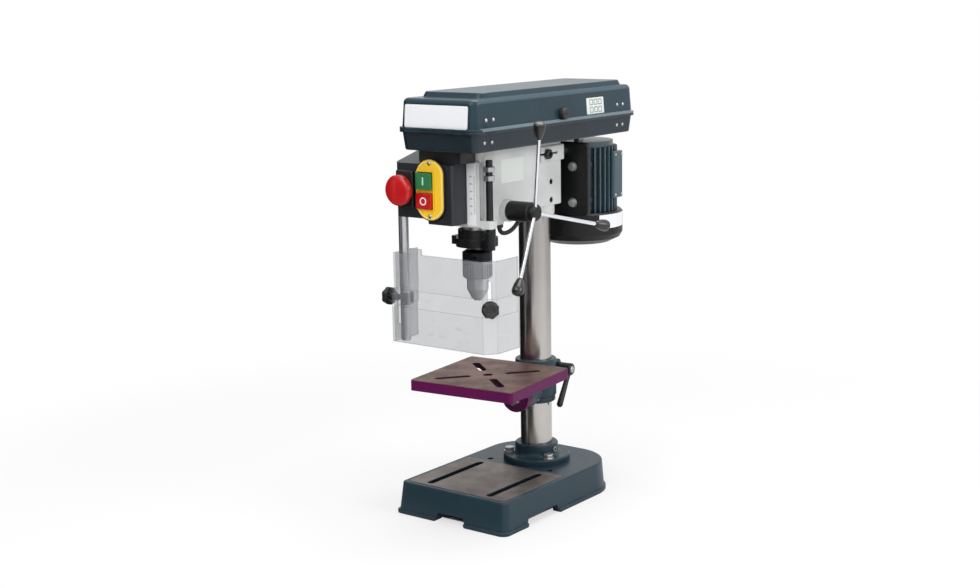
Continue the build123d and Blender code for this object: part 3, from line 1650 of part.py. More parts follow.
def guard_post_knob():
    """Knob whose screw runs through the screens' clamp and presses the post."""
    wall = -guard_left
    neck_end = wall - move_gap - post_knob_neck_length
    y = -post_ahead
    neck = bar_along_x(post_knob_neck, neck_end, wall - move_gap, y, post_knob_z)
    knob = bar_along_x(post_knob_radius, neck_end - post_knob_thick, neck_end, y, post_knob_z)
    knob = fillet(knob.edges().filter_by(GeomType.CIRCLE), post_knob_thick / 6)
    tip = post_x - post_radius - move_gap
    shank = bar_along_x(post_knob_shank, wall - move_gap * 2, tip, y, post_knob_z)
    return knob + neck + shank


def guard_post():
    post = disc(post_radius, post_bottom, switch_wing_bottom, post_x, -post_ahead)
    post = chamfer(post.edges().group_by(Axis.Z)[0], post_radius / 6)
    stud_top = switch_wing_bottom + post_stud_length
    return post + disc(post_stud, switch_wing_bottom, stud_top, post_x, -post_ahead)


# Lead and glands
def motor_lead():
    radii = []
    last = len(lead_route) - 2
    for index in range(1, last + 1):
        before, corner, after = (Vector(*point) for point in lead_route[index - 1:index + 2])
        turn = radians((corner - before).get_angle(after - corner))
        first_share = lead_end_share if index == 1 else lead_run_share
        last_share = lead_end_share if index == last else lead_run_share
        room = min((corner - before).length * first_share, (after - corner).length * last_share)
        radii.append(room / tan(turn / 2))
    path = FilletPolyline(*lead_route, radius=radii)
    section = Plane(origin=path @ 0, z_dir=path % 0) * Circle(lead_radius)
    lead = sweep(section, path)
    ideal = pi * lead_radius ** 2 * path.length
    print("lead: length", round(path.length, 1), "volume share", round(lead.volume / ideal, 4))
    print("lead radii", [round(radius, 1) for radius in radii])
    return lead


def cable_glands():
    """Glands of the lead under and beside the head, and the mains gland behind the switch."""
    x, y, z = lead_route[0]
    glands = disc(gland_radius, quill_boss_bottom - gland_length, quill_boss_bottom, x, y)
    glands = chamfer(glands.edges().group_by(Axis.Z)[0], gland_radius / 5)
    glands -= disc(lead_radius + run_fit, z - gland_length * 2, z + gland_length, x, y)
    x, y, z = lead_route[-1]
    side = bar_along_x(gland_radius, head_half_width, head_half_width + gland_length, y, z)
    side = chamfer(side.edges().group_by(Axis.X)[-1], gland_radius / 5)
    glands += side - bar_along_x(lead_radius + run_fit, 0, head_half_width * 2, y, z)
    rear = -switch_wing_rear
    mains = bar_along_y(mains_gland_radius, rear, rear + mains_gland_length, -mains_gland_x, mains_gland_z)
    mains = fillet(mains.edges().group_by(Axis.Y)[-1], mains_gland_radius / 4)
    bore = bar_along_y(mains_gland_bore, rear, rear + mains_gland_length * 2, -mains_gland_x, mains_gland_z)
    return glands + (mains - bore)


def write_all():
    os.makedirs("parts", exist_ok=True)
    nodes = {
        "base": base_casting(),
        "column_flange": column_flange(),
        "flange_bolts": flange_bolts(),
        "column": column_tube(),
        "head_casting": head_casting(),
        "head_set_screws": head_set_screws(),
        "tension_lock_screw": tension_lock(),
        "height_ring": height_ring(),
        "table_bracket": table_bracket(),
        "bracket_clamp_bolt": bracket_clamp_bolt(),
        "table_lock_lever": table_lock_lever(),
        "table": table(),
        "tilt_bolt": tilt_bolt(),
        "quill": quill(),
        "quill_bearings": quill_bearings(),
        "spindle": spindle(),
        "chuck_body": chuck_body(),
        "chuck_sleeve": chuck_sleeve(),
        "depth_arm": depth_arm(),
        "depth_rod": depth_rod(),
        "depth_nuts": depth_nuts(),
        "scale_bracket": scale_bracket(),
        "feed_shaft": feed_shaft(),
        "feed_hub": feed_hub(),
        "feed_spokes": feed_spokes(),
        "feed_knobs": feed_knobs(),
        "spring_cap": spring_cap(),
        "return_spring": return_spring(),
        "spindle_pulley": spindle_pulley(),
        "pulley_bearings": pulley_bearings(),
        "motor_pulley": motor_pulley(),
        "v_belt": v_belt(),
        "belt_tray": belt_tray(),
        "belt_lid": belt_lid(),
        "lid_hinge_pins": lid_hinge_pins(),
        "lid_lock_screw": lid_lock_screw(),
        "motor_body": motor_body(),
        "motor_end_bell": motor_end_bell(),
        "motor_rotor": motor_rotor(),
        "motor_fan": motor_fan(),
        "motor_plate": motor_plate(),
        "motor_plate_bolts": motor_plate_bolts(),
        "slide_bars": slide_bars(),
        "terminal_box": terminal_box(),
        "switch_housing": switch_housing(),
        "switch_plate": switch_plate(),
        "start_button": push_button(start_low, start_high),
        "stop_button": push_button(stop_low, stop_high),
        "estop_base": estop_base(),
        "estop_button": estop_button(),
        "guard_post": guard_post(),
        "guard_upper_screen": guard_upper_screen(),
        "guard_lower_screen": guard_lower_screen(),
        "guard_front_knob": guard_front_knob(),
        "guard_post_knob": guard_post_knob(),
        "motor_lead": motor_lead(),
        "cable_glands": cable_glands(),
    }
    for index in range(3):
        nodes["chuck_jaw_" + str(index + 1)] = chuck_jaw(index)
    for name, shape in nodes.items():
        export_step(Pos(0, bench_bolt_ahead, 0) * shape, os.path.join("parts", name + ".step"))
    print(len(nodes), "nodes written")


write_all()
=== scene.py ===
import json
import math

import bmesh
import bpy
import numpy as np
from mathutils import Matrix, Vector

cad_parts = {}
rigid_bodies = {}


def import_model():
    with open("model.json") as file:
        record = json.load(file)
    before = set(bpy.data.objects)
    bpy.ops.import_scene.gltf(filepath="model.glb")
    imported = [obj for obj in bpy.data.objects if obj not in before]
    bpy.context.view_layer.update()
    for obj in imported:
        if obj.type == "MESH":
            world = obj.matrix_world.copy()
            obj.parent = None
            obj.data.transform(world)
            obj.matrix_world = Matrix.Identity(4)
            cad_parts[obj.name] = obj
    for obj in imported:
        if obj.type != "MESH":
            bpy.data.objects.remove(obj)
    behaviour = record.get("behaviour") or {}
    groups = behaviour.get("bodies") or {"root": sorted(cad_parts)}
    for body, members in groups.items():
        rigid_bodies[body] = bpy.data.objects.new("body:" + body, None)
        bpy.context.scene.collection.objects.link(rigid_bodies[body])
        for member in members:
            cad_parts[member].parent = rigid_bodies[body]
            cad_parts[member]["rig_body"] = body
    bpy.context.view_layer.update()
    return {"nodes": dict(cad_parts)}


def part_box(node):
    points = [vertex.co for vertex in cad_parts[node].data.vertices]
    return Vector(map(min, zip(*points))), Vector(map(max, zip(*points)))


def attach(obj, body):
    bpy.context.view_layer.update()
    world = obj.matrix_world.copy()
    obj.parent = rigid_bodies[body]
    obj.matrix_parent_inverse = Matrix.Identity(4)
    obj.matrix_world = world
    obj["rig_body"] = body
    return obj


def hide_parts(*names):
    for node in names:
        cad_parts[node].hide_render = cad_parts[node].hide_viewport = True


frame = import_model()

nodes = frame["nodes"]
bodyOf = {name: made["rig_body"] for name, made in nodes.items()}
print("frame loaded,", len(nodes), "nodes")

# Lengths of the new pieces are in millimetres about the column's axis, as on a bench drawing:
# x towards the feed handle's side, y negative towards the user, z up from the bench.
# Noise scales and the lengths in finishes, camera and studio are in metres.
columnBack = 43.0        # column's axis behind the model's origin
xAxis, yAxis, zAxis = (1.0, 0.0, 0.0), (0.0, 1.0, 0.0), (0.0, 0.0, 1.0)
forward = (0.0, -1.0, 0.0)


def spot(points):
    # metres in the model's frame = (millimetres about the column + the column's place) / 1000
    return (np.asarray(points, float) + np.array([0.0, columnBack, 0.0])) / 1000.0


def unit(v):
    v = np.asarray(v, float)
    return v / np.linalg.norm(v)


# Camera at the photograph's viewpoint
cameraLook = {
    "place": (1.30355, -1.78595, 0.72242),
    "right": (0.79874, 0.60149, -0.01518),
    "ahead": (-0.59305, 0.78277, -0.18860),
    "lens": 57.86,
    "sensor": 36.0,
    "farthest": 50.0,
}


def addCamera(look):
    # the camera's turn has right, up = back x right, and back as its columns
    data = bpy.data.cameras.new("photoCamera")
    data.lens = look["lens"]
    data.sensor_width = look["sensor"]
    data.sensor_fit = "HORIZONTAL"
    data.clip_end = look["farthest"]
    back = -unit(look["ahead"])
    up = unit(np.cross(back, unit(look["right"])))
    turn = np.eye(4)
    turn[:3, 0], turn[:3, 1], turn[:3, 2], turn[:3, 3] = np.cross(up, back), up, back, look["place"]
    made = bpy.data.objects.new("photoCamera", data)
    made.matrix_world = Matrix(turn.tolist())
    bpy.context.scene.collection.objects.link(made)
    bpy.context.scene.camera = made


addCamera(cameraLook)
print("camera placed")


# Shader maths: one socket as a value that Python can add, multiply and compare
class Wire:
    def __init__(self, finish, socket):
        self.finish = finish
        self.socket = socket

    def maths(self, operation, *values):
        return self.finish.node("Math", {"operation": operation}, dict(enumerate(values)))

    def __add__(self, other):
        return self.maths("ADD", self, other)

    def __radd__(self, other):
        return self.maths("ADD", other, self)

    def __sub__(self, other):
        return self.maths("SUBTRACT", self, other)

    def __rsub__(self, other):
        return self.maths("SUBTRACT", other, self)

    def __mul__(self, other):
        return self.maths("MULTIPLY", self, other)

    def __rmul__(self, other):
        return self.maths("MULTIPLY", other, self)

    def __gt__(self, other):
        return self.maths("GREATER_THAN", self, other)

    def __lt__(self, other):
        return self.maths("LESS_THAN", self, other)

    def most(self, other):
        return self.maths("MAXIMUM", self, other)

    def least(self, other):
        return self.maths("MINIMUM", self, other)

    def size(self):
        return self.maths("ABSOLUTE", self)

    def held(self, low=0.0, high=1.0):
        return self.most(low).least(high)

    def smooth(self, low, high):
        # 0 below low, 1 above high, eased in between
        settings = {"interpolation_type": "SMOOTHSTEP"}
        return self.finish.node("MapRange", settings, {"Value": self, "From Min": low, "From Max": high})


# A node tree under construction: that of a material, or of the world
class Finish:
    def __init__(self, name, shelf="materials"):
        self.owner = getattr(bpy.data, shelf).new(name)
        self.owner.use_nodes = True
        self.tree = self.owner.node_tree
        self.tree.nodes.clear()
        self.known = {}

    def node(self, kind, settings=None, values=None, out=0):
        made = self.tree.nodes.new("ShaderNode" + kind)
        for name, value in (settings or {}).items():
            setattr(made, name, value)
        for name, value in (values or {}).items():
            if isinstance(value, Wire):
                self.tree.links.new(value.socket, made.inputs[name])
            else:
                made.inputs[name].default_value = value
        return Wire(self, made.outputs[out]) if made.outputs else None

    def once(self, name, make):
        if name not in self.known:
            self.known[name] = make()
        return self.known[name]

    def point(self):
        return self.once("point", lambda: self.node("TexCoord", out="Object"))

    def place(self, scale, turn=(0.0, 0.0, 0.0)):
        return self.node("Mapping", {}, {"Vector": self.point(), "Rotation": turn, "Scale": scale})

    def axis(self, index):
        # object coordinate along x, y or z
        return self.once(f"axis{index}", lambda: self.node("SeparateXYZ", {}, {0: self.point()}, index))

    def noise(self, scale, detail=3.0, rough=0.55, at=None):
        values = {"Vector": at or self.point(), "Scale": scale, "Detail": detail, "Roughness": rough}
        return self.node("TexNoise", {}, values)

    def grain(self, scale):
        return self.node("TexVoronoi", {"feature": "SMOOTH_F1"}, {"Vector": self.point(), "Scale": scale})

    def mix(self, mask, first, second):
        # first where the mask is 0, second where it is 1; 0, 6 and 7 are the colour sockets' places
        return self.node("Mix", {"data_type": "RGBA"}, {0: mask, 6: first, 7: second}, 2)

    def shades(self, mask, colour, low, high):
        # from the colour times low to the colour times high
        return self.mix(mask, darker(colour, low), darker(colour, high))

    def rounded(self, radius):
        return self.once(f"round{radius}", lambda: self.node("Bevel", {"samples": 6}, {"Radius": radius}))

    def edges(self, radius):
        # 1 where the surface turns sharply within the radius, 0 on flats:
        # one less the dot product of the rounded and the plain normal, eased
        plain = self.node("NewGeometry", out="Normal")
        settings = {"operation": "DOT_PRODUCT"}
        alike = self.node("VectorMath", settings, {0: self.rounded(radius), 1: plain}, "Value")
        return (1.0 - alike).smooth(0.01, 0.22)

    def bump(self, height, depth, strength=0.5, normal=None):
        values = {"Height": height, "Distance": depth, "Strength": strength}
        if normal:
            values["Normal"] = normal
        return self.node("Bump", {}, values)

    def close(self, shader, kind="OutputMaterial"):
        self.node(kind, {}, {"Surface": shader})
        return self.owner

    def shine(self, values):
        return self.close(self.node("BsdfPrincipled", {}, values))


def tone(red, green, blue):
    # screen colour of 0 to 255 as a linear colour with full alpha, by the sRGB curve
    shares = np.array([red, green, blue], float) / 255.0
    low = shares / 12.92
    high = ((shares + 0.055) / 1.055) ** 2.4
    return (*np.where(shares <= 0.04045, low, high).tolist(), 1.0)


def darker(colour, share):
    return (*(np.array(colour[:3]) * share).tolist(), 1.0)


pureWhite = (1.0, 1.0, 1.0, 1.0)
enamelBlue = tone(26, 50, 61)
plumEnamel = tone(92, 14, 74)

# Enamel on castings and on pressed sheet: pits per metre, depth of the bump, gloss, wear on edges, painted
# highlight bands
paintBase = {"pits": 420.0, "depth": 0.00016, "rough": 0.42, "coat": 0.12, "coatRough": 0.12, "mirror": 0.3,
             "wear": 0.5, "edge": 0.0012, "paintedHighlights": (), "highlightBehind": -0.166,
             "chip": (0.30, 0.30, 0.31, 1.0)}
pressedSheet = {"pits": 900.0, "depth": 0.00004, "coatRough": 0.06, "wear": 0.2, "edge": 0.0022}
# painted highlights: paler bands painted along the lid's lower rim and its top edge, where the lamps' light
# catches them
lidPaintedHighlights = ((0.5436, 0.5478, tone(126, 142, 150)), (0.5796, 0.5832, tone(62, 84, 96)))
paints = {
    "blueCasting": (enamelBlue, {"rough": 0.4}),
    "lidSheet": (enamelBlue, {**pressedSheet, "rough": 0.36, "coat": 0.18, "mirror": 0.22,
                              "paintedHighlights": lidPaintedHighlights}),
    "traySheet": (tone(25, 38, 46), {**pressedSheet, "rough": 0.34, "coat": 0.2}),
    "blueMotor": (tone(60, 79, 88), {"rough": 0.34, "coat": 0.3, "wear": 0.8}),
    "whiteCasting": (tone(208, 210, 209), {"rough": 0.46, "coat": 0.1, "wear": 0.3, "mirror": 0.5}),
    "blackEnamel": (tone(15, 16, 18), {"rough": 0.36, "coat": 0.05, "wear": 0.3}),
}


def paintedCasting(name, colour, look):
    # clouded enamel, darker in its pits, bare grey where edges are worn;
    # a painted highlight (low, high, tone) is a paler tone painted on the cover's sides between two heights,
    # along a rounded rim
    f = Finish(name)
    cloud = f.noise(9.0, 4.0)
    pits = f.noise(look["pits"], 3.0, 0.6)
    sand = f.noise(1500.0, 2.0)
    worn = (f.edges(look["edge"]) * f.noise(160.0, 4.0).smooth(0.50, 0.66)).held() * look["wear"]
    base = f.shades(cloud.smooth(0.3, 0.7), colour, 0.86, 1.14)
    base = f.mix(pits.smooth(0.55, 0.8) * 0.35, base, darker(colour, 0.7))
    base = f.mix(worn, base, look["chip"])
    # painted highlight: the tone is painted paler between two heights, only behind the cover's front
    for low, high, other in look["paintedHighlights"]:
        highlightMask = (f.axis(2) > low) * (f.axis(2) < high) * (f.axis(1) > look["highlightBehind"])
        base = f.mix(highlightMask * (0.5 + cloud * 0.5), base, other)
    normal = f.bump(pits * 0.7 + sand * 0.3, look["depth"], 0.55, f.rounded(look["edge"]))
    rough = look["rough"] + (cloud - 0.5) * 0.16 + pits * 0.08 - worn * 0.1
    return f.shine({"Base Color": base, "Roughness": rough, "Normal": normal, "Coat Weight": look["coat"],
                    "Coat Roughness": look["coatRough"], "Specular IOR Level": look["mirror"]})


# Turned, ground and plated metal: scale of the rings along x, y and z, share of rust spots,
# and below = (height, tone), which gives the part under a height a tone of its own
metalBase = {"rough": 0.26, "depth": 0.00002, "edge": 0.0005, "scale": (30.0, 30.0, 3800.0), "bloom": 18.0,
             "spots": 0.12, "stain": (0.16, 0.11, 0.08, 1.0), "below": None}
metals = {
    "columnSteel": (tone(186, 182, 178), {"rough": 0.15, "scale": (40.0, 40.0, 1500.0)}),
    "postSteel": (tone(214, 214, 217), {"rough": 0.24, "spots": 0.03}),
    "turnedSteel": (tone(200, 200, 202), {"rough": 0.22, "spots": 0.05}),
    "boltSteel": (tone(176, 176, 178), {"rough": 0.3, "spots": 0.25}),
    "chrome": (tone(226, 228, 232), {"rough": 0.06, "depth": 0.0000004, "spots": 0.04, "bloom": 30.0,
                                     "scale": (500.0, 500.0, 500.0)}),
    "blackSteel": (tone(58, 58, 61), {"rough": 0.34, "spots": 0.05}),
    "chuckSteel": (tone(46, 46, 49), {"rough": 0.3, "spots": 0.04, "below": (0.3597, tone(214, 214, 216))}),
    "sleeveSteel": (tone(168, 168, 171), {"rough": 0.27, "spots": 0.06}),
    "aluminium": (tone(205, 207, 210), {"rough": 0.28, "spots": 0.0}),
}


def roundMetal(name, colour, look):
    # noise squeezed along z makes the tool's fine rings; over them a faint bloom and a few rust spots
    f = Finish(name)
    rings = f.noise(1.0, 3.0, 0.65, f.place(look["scale"]))
    bloom = f.noise(look["bloom"], 4.0)
    spots = f.noise(260.0, 4.0, 0.7).smooth(0.62, 0.75)
    base = f.shades(rings, colour, 0.86, 1.08)
    if look["below"]:
        limit, other = look["below"]
        base = f.mix(f.axis(2) > limit, f.shades(rings, other, 0.86, 1.08), base)
    base = f.mix(bloom.smooth(0.4, 0.8) * 0.3, base, darker(colour, 0.66))
    base = f.mix(spots * look["spots"], base, look["stain"])
    normal = f.bump(rings, look["depth"], 0.5, f.rounded(look["edge"]))
    rough = look["rough"] + rings * 0.10 + bloom * 0.08
    return f.shine({"Base Color": base, "Metallic": 1.0, "Roughness": rough, "Normal": normal})


# Moulded plastic: spark-eroded grain per metre, sheen, rub = tone of rubbed edges, or twice the colour
plasticBase = {"grain": 1300.0, "depth": 0.00006, "edge": 0.0009, "rough": 0.45, "coat": 0.0, "wear": 0.35,
               "rub": None}
plastics = {
    "blackPlastic": (tone(27, 27, 30), {}),
    "knobPlastic": (tone(22, 22, 24), {"rough": 0.3, "coat": 0.2, "depth": 0.00001}),
    "yellowPlastic": (tone(246, 200, 40), {"rough": 0.34, "wear": 0.1, "rub": tone(250, 220, 120)}),
    "paleYellow": (tone(250, 222, 120), {"rough": 0.3, "wear": 0.1, "rub": tone(252, 236, 170)}),
    "housingPlastic": (tone(24, 28, 34), {"rough": 0.4, "coat": 0.1, "wear": 0.25}),
    "redPlastic": (tone(188, 10, 16), {"rough": 0.3, "coat": 0.15, "wear": 0.06, "rub": tone(226, 70, 70)}),
    "greenPlastic": (tone(34, 120, 72), {"rough": 0.3, "coat": 0.2, "wear": 0.1, "rub": tone(120, 190, 150)}),
    "rubber": (tone(30, 30, 32), {"rough": 0.6, "grain": 700.0}),
}


def mouldedPlastic(name, colour, look):
    # clouded colour with the mould's grain as a bump, paler where edges are rubbed
    f = Finish(name)
    cloud = f.noise(14.0, 3.0)
    rubbed = (f.edges(look["edge"]) * f.noise(120.0, 3.0).smooth(0.45, 0.7)).held() * look["wear"]
    base = f.mix(rubbed, f.shades(cloud, colour, 0.88, 1.12), look["rub"] or darker(colour, 2.2))
    normal = f.bump(f.grain(look["grain"]), look["depth"], 0.5, f.rounded(look["edge"]))
    return f.shine({"Base Color": base, "Roughness": look["rough"] + cloud * 0.08, "Normal": normal,
                    "Coat Weight": look["coat"], "Coat Roughness": 0.12})


# Printed card, film and ink
cardBase = {"rough": 0.4, "coat": 0.0, "scuff": 0.2}
printed = {
    "panelWhite": (tone(240, 241, 243), {"rough": 0.36, "coat": 0.1, "scuff": 0.05}),
    "paperLabel": (tone(222, 226, 222), {"rough": 0.5, "scuff": 0.25}),
    "tileGrey": (tone(112, 136, 122), {"rough": 0.45}),
    "signWhite": (tone(232, 232, 230), {}),
    "ink": (tone(26, 26, 28), {"rough": 0.5}),
}


def printedCard(name, colour, look):
    # faint fibre as colour and bump, and duller scuffs
    f = Finish(name)
    fibre = f.noise(2200.0, 2.0)
    scuff = f.noise(90.0, 5.0, 0.7).smooth(0.6, 0.74)
    base = f.mix(scuff * look["scuff"], f.shades(fibre, colour, 0.95, 1.03), darker(colour, 0.7))
    return f.shine({"Base Color": base, "Roughness": look["rough"] + scuff * 0.2,
                    "Normal": f.bump(fibre, 0.00001, 0.3), "Coat Weight": look["coat"],
                    "Coat Roughness": 0.1})


# Enamelled castings with a milled top: skin is how thin the top layer is, cut gives the depths between
# which the walls of slots and holes get painted shade, within a margin from the sides and front, ahead of
# behind
ironPieces = {
    "tableIron": {"node": "table", "paint": plumEnamel, "chip": tone(150, 120, 140), "wear": 0.4,
                  "flakes": 160.0, "cloud": 9.0, "edge": 0.001, "depth": 0.00014, "coat": 0.05,
                  "mirror": 0.12, "pale": tone(130, 101, 91), "brown": tone(88, 63, 54),
                  "dark": tone(52, 36, 31), "hole": tone(30, 26, 28), "skin": 0.0006,
                  "cut": (0.0006, 0.0078), "margin": (0.01864, 0.01864), "behind": -0.01577},
    "baseIron": {"node": "base", "paint": enamelBlue, "chip": tone(128, 136, 142), "wear": 0.45,
                 "flakes": 150.0, "cloud": 8.0, "edge": 0.0014, "depth": 0.00018, "coat": 0.15,
                 "mirror": 0.25, "pale": tone(128, 121, 117), "brown": tone(101, 93, 87),
                 "dark": tone(68, 62, 58), "hole": tone(16, 17, 19), "skin": 0.0004,
                 "cut": (0.0012, 0.014), "margin": (0.025, 0.022), "behind": 0.035},
}


def milledIron(name, look):
    # top = milled grey iron with a rust-brown bloom; below it enamel; cut = painted shade on the walls of
    # slots and holes
    f = Finish(name)
    low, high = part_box(look["node"])
    top = f.axis(2) > high.z - look["skin"]
    middle, reach = (low.x + high.x) / 2, (high.x - low.x) / 2 - look["margin"][0]
    inside = ((f.axis(0) - middle).size() < reach) * (f.axis(1) > low.y + look["margin"][1])
    inside = inside * (f.axis(1) < look["behind"])
    cut = inside * (f.axis(2) < high.z - look["cut"][0]) * (f.axis(2) > high.z - look["cut"][1])
    streak = f.noise(1.0, 3.0, 0.6, f.place((160.0, 2600.0, 60.0)))
    bloom = f.noise(26.0, 5.0, 0.6)
    milled = f.mix(bloom.smooth(0.35, 0.7), look["pale"], look["brown"])
    milled = f.mix(streak * 0.35, milled, look["dark"])
    cloud = f.noise(look["cloud"], 4.0)
    chips = f.edges(look["edge"]) * f.noise(look["flakes"], 4.0).smooth(0.5, 0.66)
    paint = f.mix(chips.held() * look["wear"], f.shades(cloud, look["paint"], 0.8, 1.15), look["chip"])
    # painted shade: the walls of slots and holes are darkened towards hole
    base = f.mix(cut * 0.85, f.mix(top, paint, milled), look["hole"])
    height = top * (streak * 0.6 + f.noise(900.0, 3.0) * 0.4) * 0.25 + (1.0 - top) * f.noise(420.0, 3.0)
    rough = top * (0.34 + streak * 0.16 + bloom * 0.12) + (1.0 - top) * (0.4 + cloud * 0.1)
    return f.shine({"Base Color": base, "Metallic": top * 0.8, "Roughness": rough,
                    "Normal": f.bump(height, look["depth"], 0.5, f.rounded(look["edge"])),
                    "Coat Weight": (1.0 - top) * look["coat"], "Coat Roughness": 0.12,
                    "Specular IOR Level": look["mirror"]})


# Clear screens: each is thinner by a share between the heights where the two lie together
screens = {
    "share": 0.5, "body": 0.23, "haze": 0.08, "grazing": 0.12, "scratch": 0.07, "rim": 0.4, "most": 0.95,
    "clear": tone(150, 154, 158), "dark": tone(84, 90, 94), "edge": 0.0014, "blend": 0.35, "rough": 0.12,
    "index": 1.49, "coat": 0.5, "coatRough": 0.05,
}


def clearScreen(name, look):
    # alpha = body, haze, more where seen at a slant and along scratches, and a darker, denser rim
    f = Finish(name)
    low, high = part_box("guard_upper_screen")[0].z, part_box("guard_lower_screen")[1].z
    rim = (f.edges(look["edge"]) * 2.0).held()
    slant = f.node("LayerWeight", {}, {"Blend": look["blend"]}, "Facing")
    scratch = f.noise(1.0, 2.0, 0.7, f.place((40.0, 900.0, 90.0), (0.3, 0.5, 0.2))).smooth(0.66, 0.72)
    haze = f.noise(20.0, 3.0)
    both = (f.axis(2) > low) * (f.axis(2) < high) * look["share"]
    body = look["body"] + haze * look["haze"] + slant * look["grazing"] + scratch * look["scratch"]
    return f.shine({"Base Color": f.mix(rim, look["clear"], look["dark"]), "Roughness": look["rough"],
                    "Alpha": (body * (1.0 - both) + rim * look["rim"]).held(0.0, look["most"]),
                    "IOR": look["index"], "Coat Weight": look["coat"], "Coat Roughness": look["coatRough"]})


finishes = {}
for make, usual, table in ((paintedCasting, paintBase, paints), (roundMetal, metalBase, metals),
                           (mouldedPlastic, plasticBase, plastics), (printedCard, cardBase, printed)):
    for name, (colour, changes) in table.items():
        finishes[name] = make(name, colour, {**usual, **changes})
for name, look in ironPieces.items():
    finishes[name] = milledIron(name, look)
for name in ("upperScreen", "lowerScreen"):
    finishes[name] = clearScreen(name, screens)

finishNodes = {
    "baseIron": ("base",), "tableIron": ("table",), "columnSteel": ("column",), "postSteel": ("guard_post",),
    "blueCasting": ("column_flange", "height_ring", "table_bracket"),
    "whiteCasting": ("head_casting", "scale_bracket"),
    "lidSheet": ("belt_lid",), "traySheet": ("belt_tray",), "blueMotor": ("motor_body", "terminal_box"),
    "blackEnamel": ("table_lock_lever", "depth_arm", "feed_hub", "spring_cap", "motor_end_bell",
                    "motor_plate"),
    "boltSteel": ("flange_bolts", "bracket_clamp_bolt", "tilt_bolt", "depth_nuts", "lid_hinge_pins",
                  "motor_plate_bolts"),
    "turnedSteel": ("quill", "quill_bearings", "spindle", "chuck_jaw_1", "chuck_jaw_2", "chuck_jaw_3",
                    "feed_shaft", "return_spring", "pulley_bearings", "motor_rotor", "slide_bars"),
    "chuckSteel": ("chuck_body",), "sleeveSteel": ("chuck_sleeve",), "chrome": ("feed_spokes",),
    "blackSteel": ("head_set_screws", "depth_rod"), "aluminium": ("spindle_pulley", "motor_pulley"),
    "blackPlastic": ("tension_lock_screw", "lid_lock_screw", "motor_fan", "estop_base", "cable_glands"),
    "knobPlastic": ("feed_knobs", "guard_front_knob", "guard_post_knob"),
    "housingPlastic": ("switch_housing",), "yellowPlastic": ("switch_plate",),
    "redPlastic": ("stop_button", "estop_button"), "greenPlastic": ("start_button",),
    "rubber": ("v_belt", "motor_lead"),
    "upperScreen": ("guard_upper_screen",), "lowerScreen": ("guard_lower_screen",),
}
for finish, names in finishNodes.items():
    for name in names:
        nodes[name].data.materials.clear()
        nodes[name].data.materials.append(finishes[finish])
print("finishes made,", len(finishes))


# New pieces: grids of points worked out from a profile and an outline
def wrap(rows, columns):
    # faces of a grid whose columns close into a ring: each joins a point, its neighbour and the two above
    low = np.arange(rows - 1)[:, None] * columns + np.arange(columns)[None, :]
    side = np.arange(rows - 1)[:, None] * columns + (np.arange(columns)[None, :] + 1) % columns
    return np.stack([low, side, side + columns, low + columns], -1).reshape(-1, 4)


def joinNode(made, node, replaces=False):
    # into the scene and on the body of a CAD node, which is hidden if the new piece replaces it
    bpy.context.scene.collection.objects.link(made)
    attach(made, bodyOf[node])
    if replaces:
        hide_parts(node)


def addPiece(name, parts, finish, node, replaces=False, angle=32.0):
    # one mesh from (points, faces) parts, welded, with its faces pointing outwards;
    # edges that turn by more than the angle stay sharp
    points, faces, count = [], [], 0
    for corners, quads in parts:
        points.append(corners)
        faces.append(quads + count)
        count += len(corners)
    mesh = bpy.data.meshes.new(name)
    mesh.from_pydata(spot(np.concatenate(points)).tolist(), [], np.concatenate(faces).tolist())
    work = bmesh.new()
    work.from_mesh(mesh)
    bmesh.ops.remove_doubles(work, verts=work.verts, dist=2e-6)
    bmesh.ops.dissolve_degenerate(work, edges=work.edges, dist=1e-7)
    bmesh.ops.recalc_face_normals(work, faces=work.faces)
    work.to_mesh(mesh)
    work.free()
    mesh.shade_smooth()
    mesh.set_sharp_from_angle(angle=math.radians(angle))
    mesh.materials.append(finishes[finish])
    joinNode(bpy.data.objects.new(name, mesh), node, replaces)


def sideways(along):
    # two unit directions square to a given one and to each other
    along = unit(along)
    helper = zAxis if abs(along[2]) < 0.9 else xAxis
    across = unit(np.cross(helper, along))
    return across, np.cross(along, across)


def turnedForm(profile, start, along, sides=56, lobes=None):
    # surface of revolution: point = start + along * height + radius * (cos, sin) of the angle;
    # lobes = (count, depth share, first row, last row) waves the radius round the axis
    profile = np.asarray(profile, float)
    angle = np.linspace(0.0, 2.0 * np.pi, sides, endpoint=False)
    across, up = sideways(along)
    radius = np.repeat(profile[:, 0][:, None], sides, 1)
    if lobes:
        count, depth, first, last = lobes
        radius[first:last] *= 1.0 - depth * (0.5 + 0.5 * np.cos(count * angle))
    ring = np.cos(angle)[:, None] * across + np.sin(angle)[:, None] * up
    points = np.asarray(start, float) + profile[:, 1][:, None, None] * unit(along)
    points = points + radius[..., None] * ring[None]
    return points.reshape(-1, 3), wrap(len(profile), sides)


def roundedBox(width, height, radius, steps=7):
    # closed outline of a rectangle, run anticlockwise: corner point = corner's centre + radius * (cos, sin)
    quarter = np.linspace(0.0, np.pi / 2.0, steps)
    rows = []
    for index, (x, y) in enumerate(((1, 1), (-1, 1), (-1, -1), (1, -1))):
        turn = quarter + index * np.pi / 2.0
        centre = np.array([x * (width / 2.0 - radius), y * (height / 2.0 - radius)])
        rows.append(centre + radius * np.stack([np.cos(turn), np.sin(turn)], 1))
    return np.concatenate(rows)


def outward(outline):
    # unit normals of a closed anticlockwise outline: the chord between a point's neighbours, turned right
    chord = np.roll(outline, -1, 0) - np.roll(outline, 1, 0)
    chord /= np.linalg.norm(chord, axis=1)[:, None]
    return np.stack([chord[:, 1], -chord[:, 0]], 1)


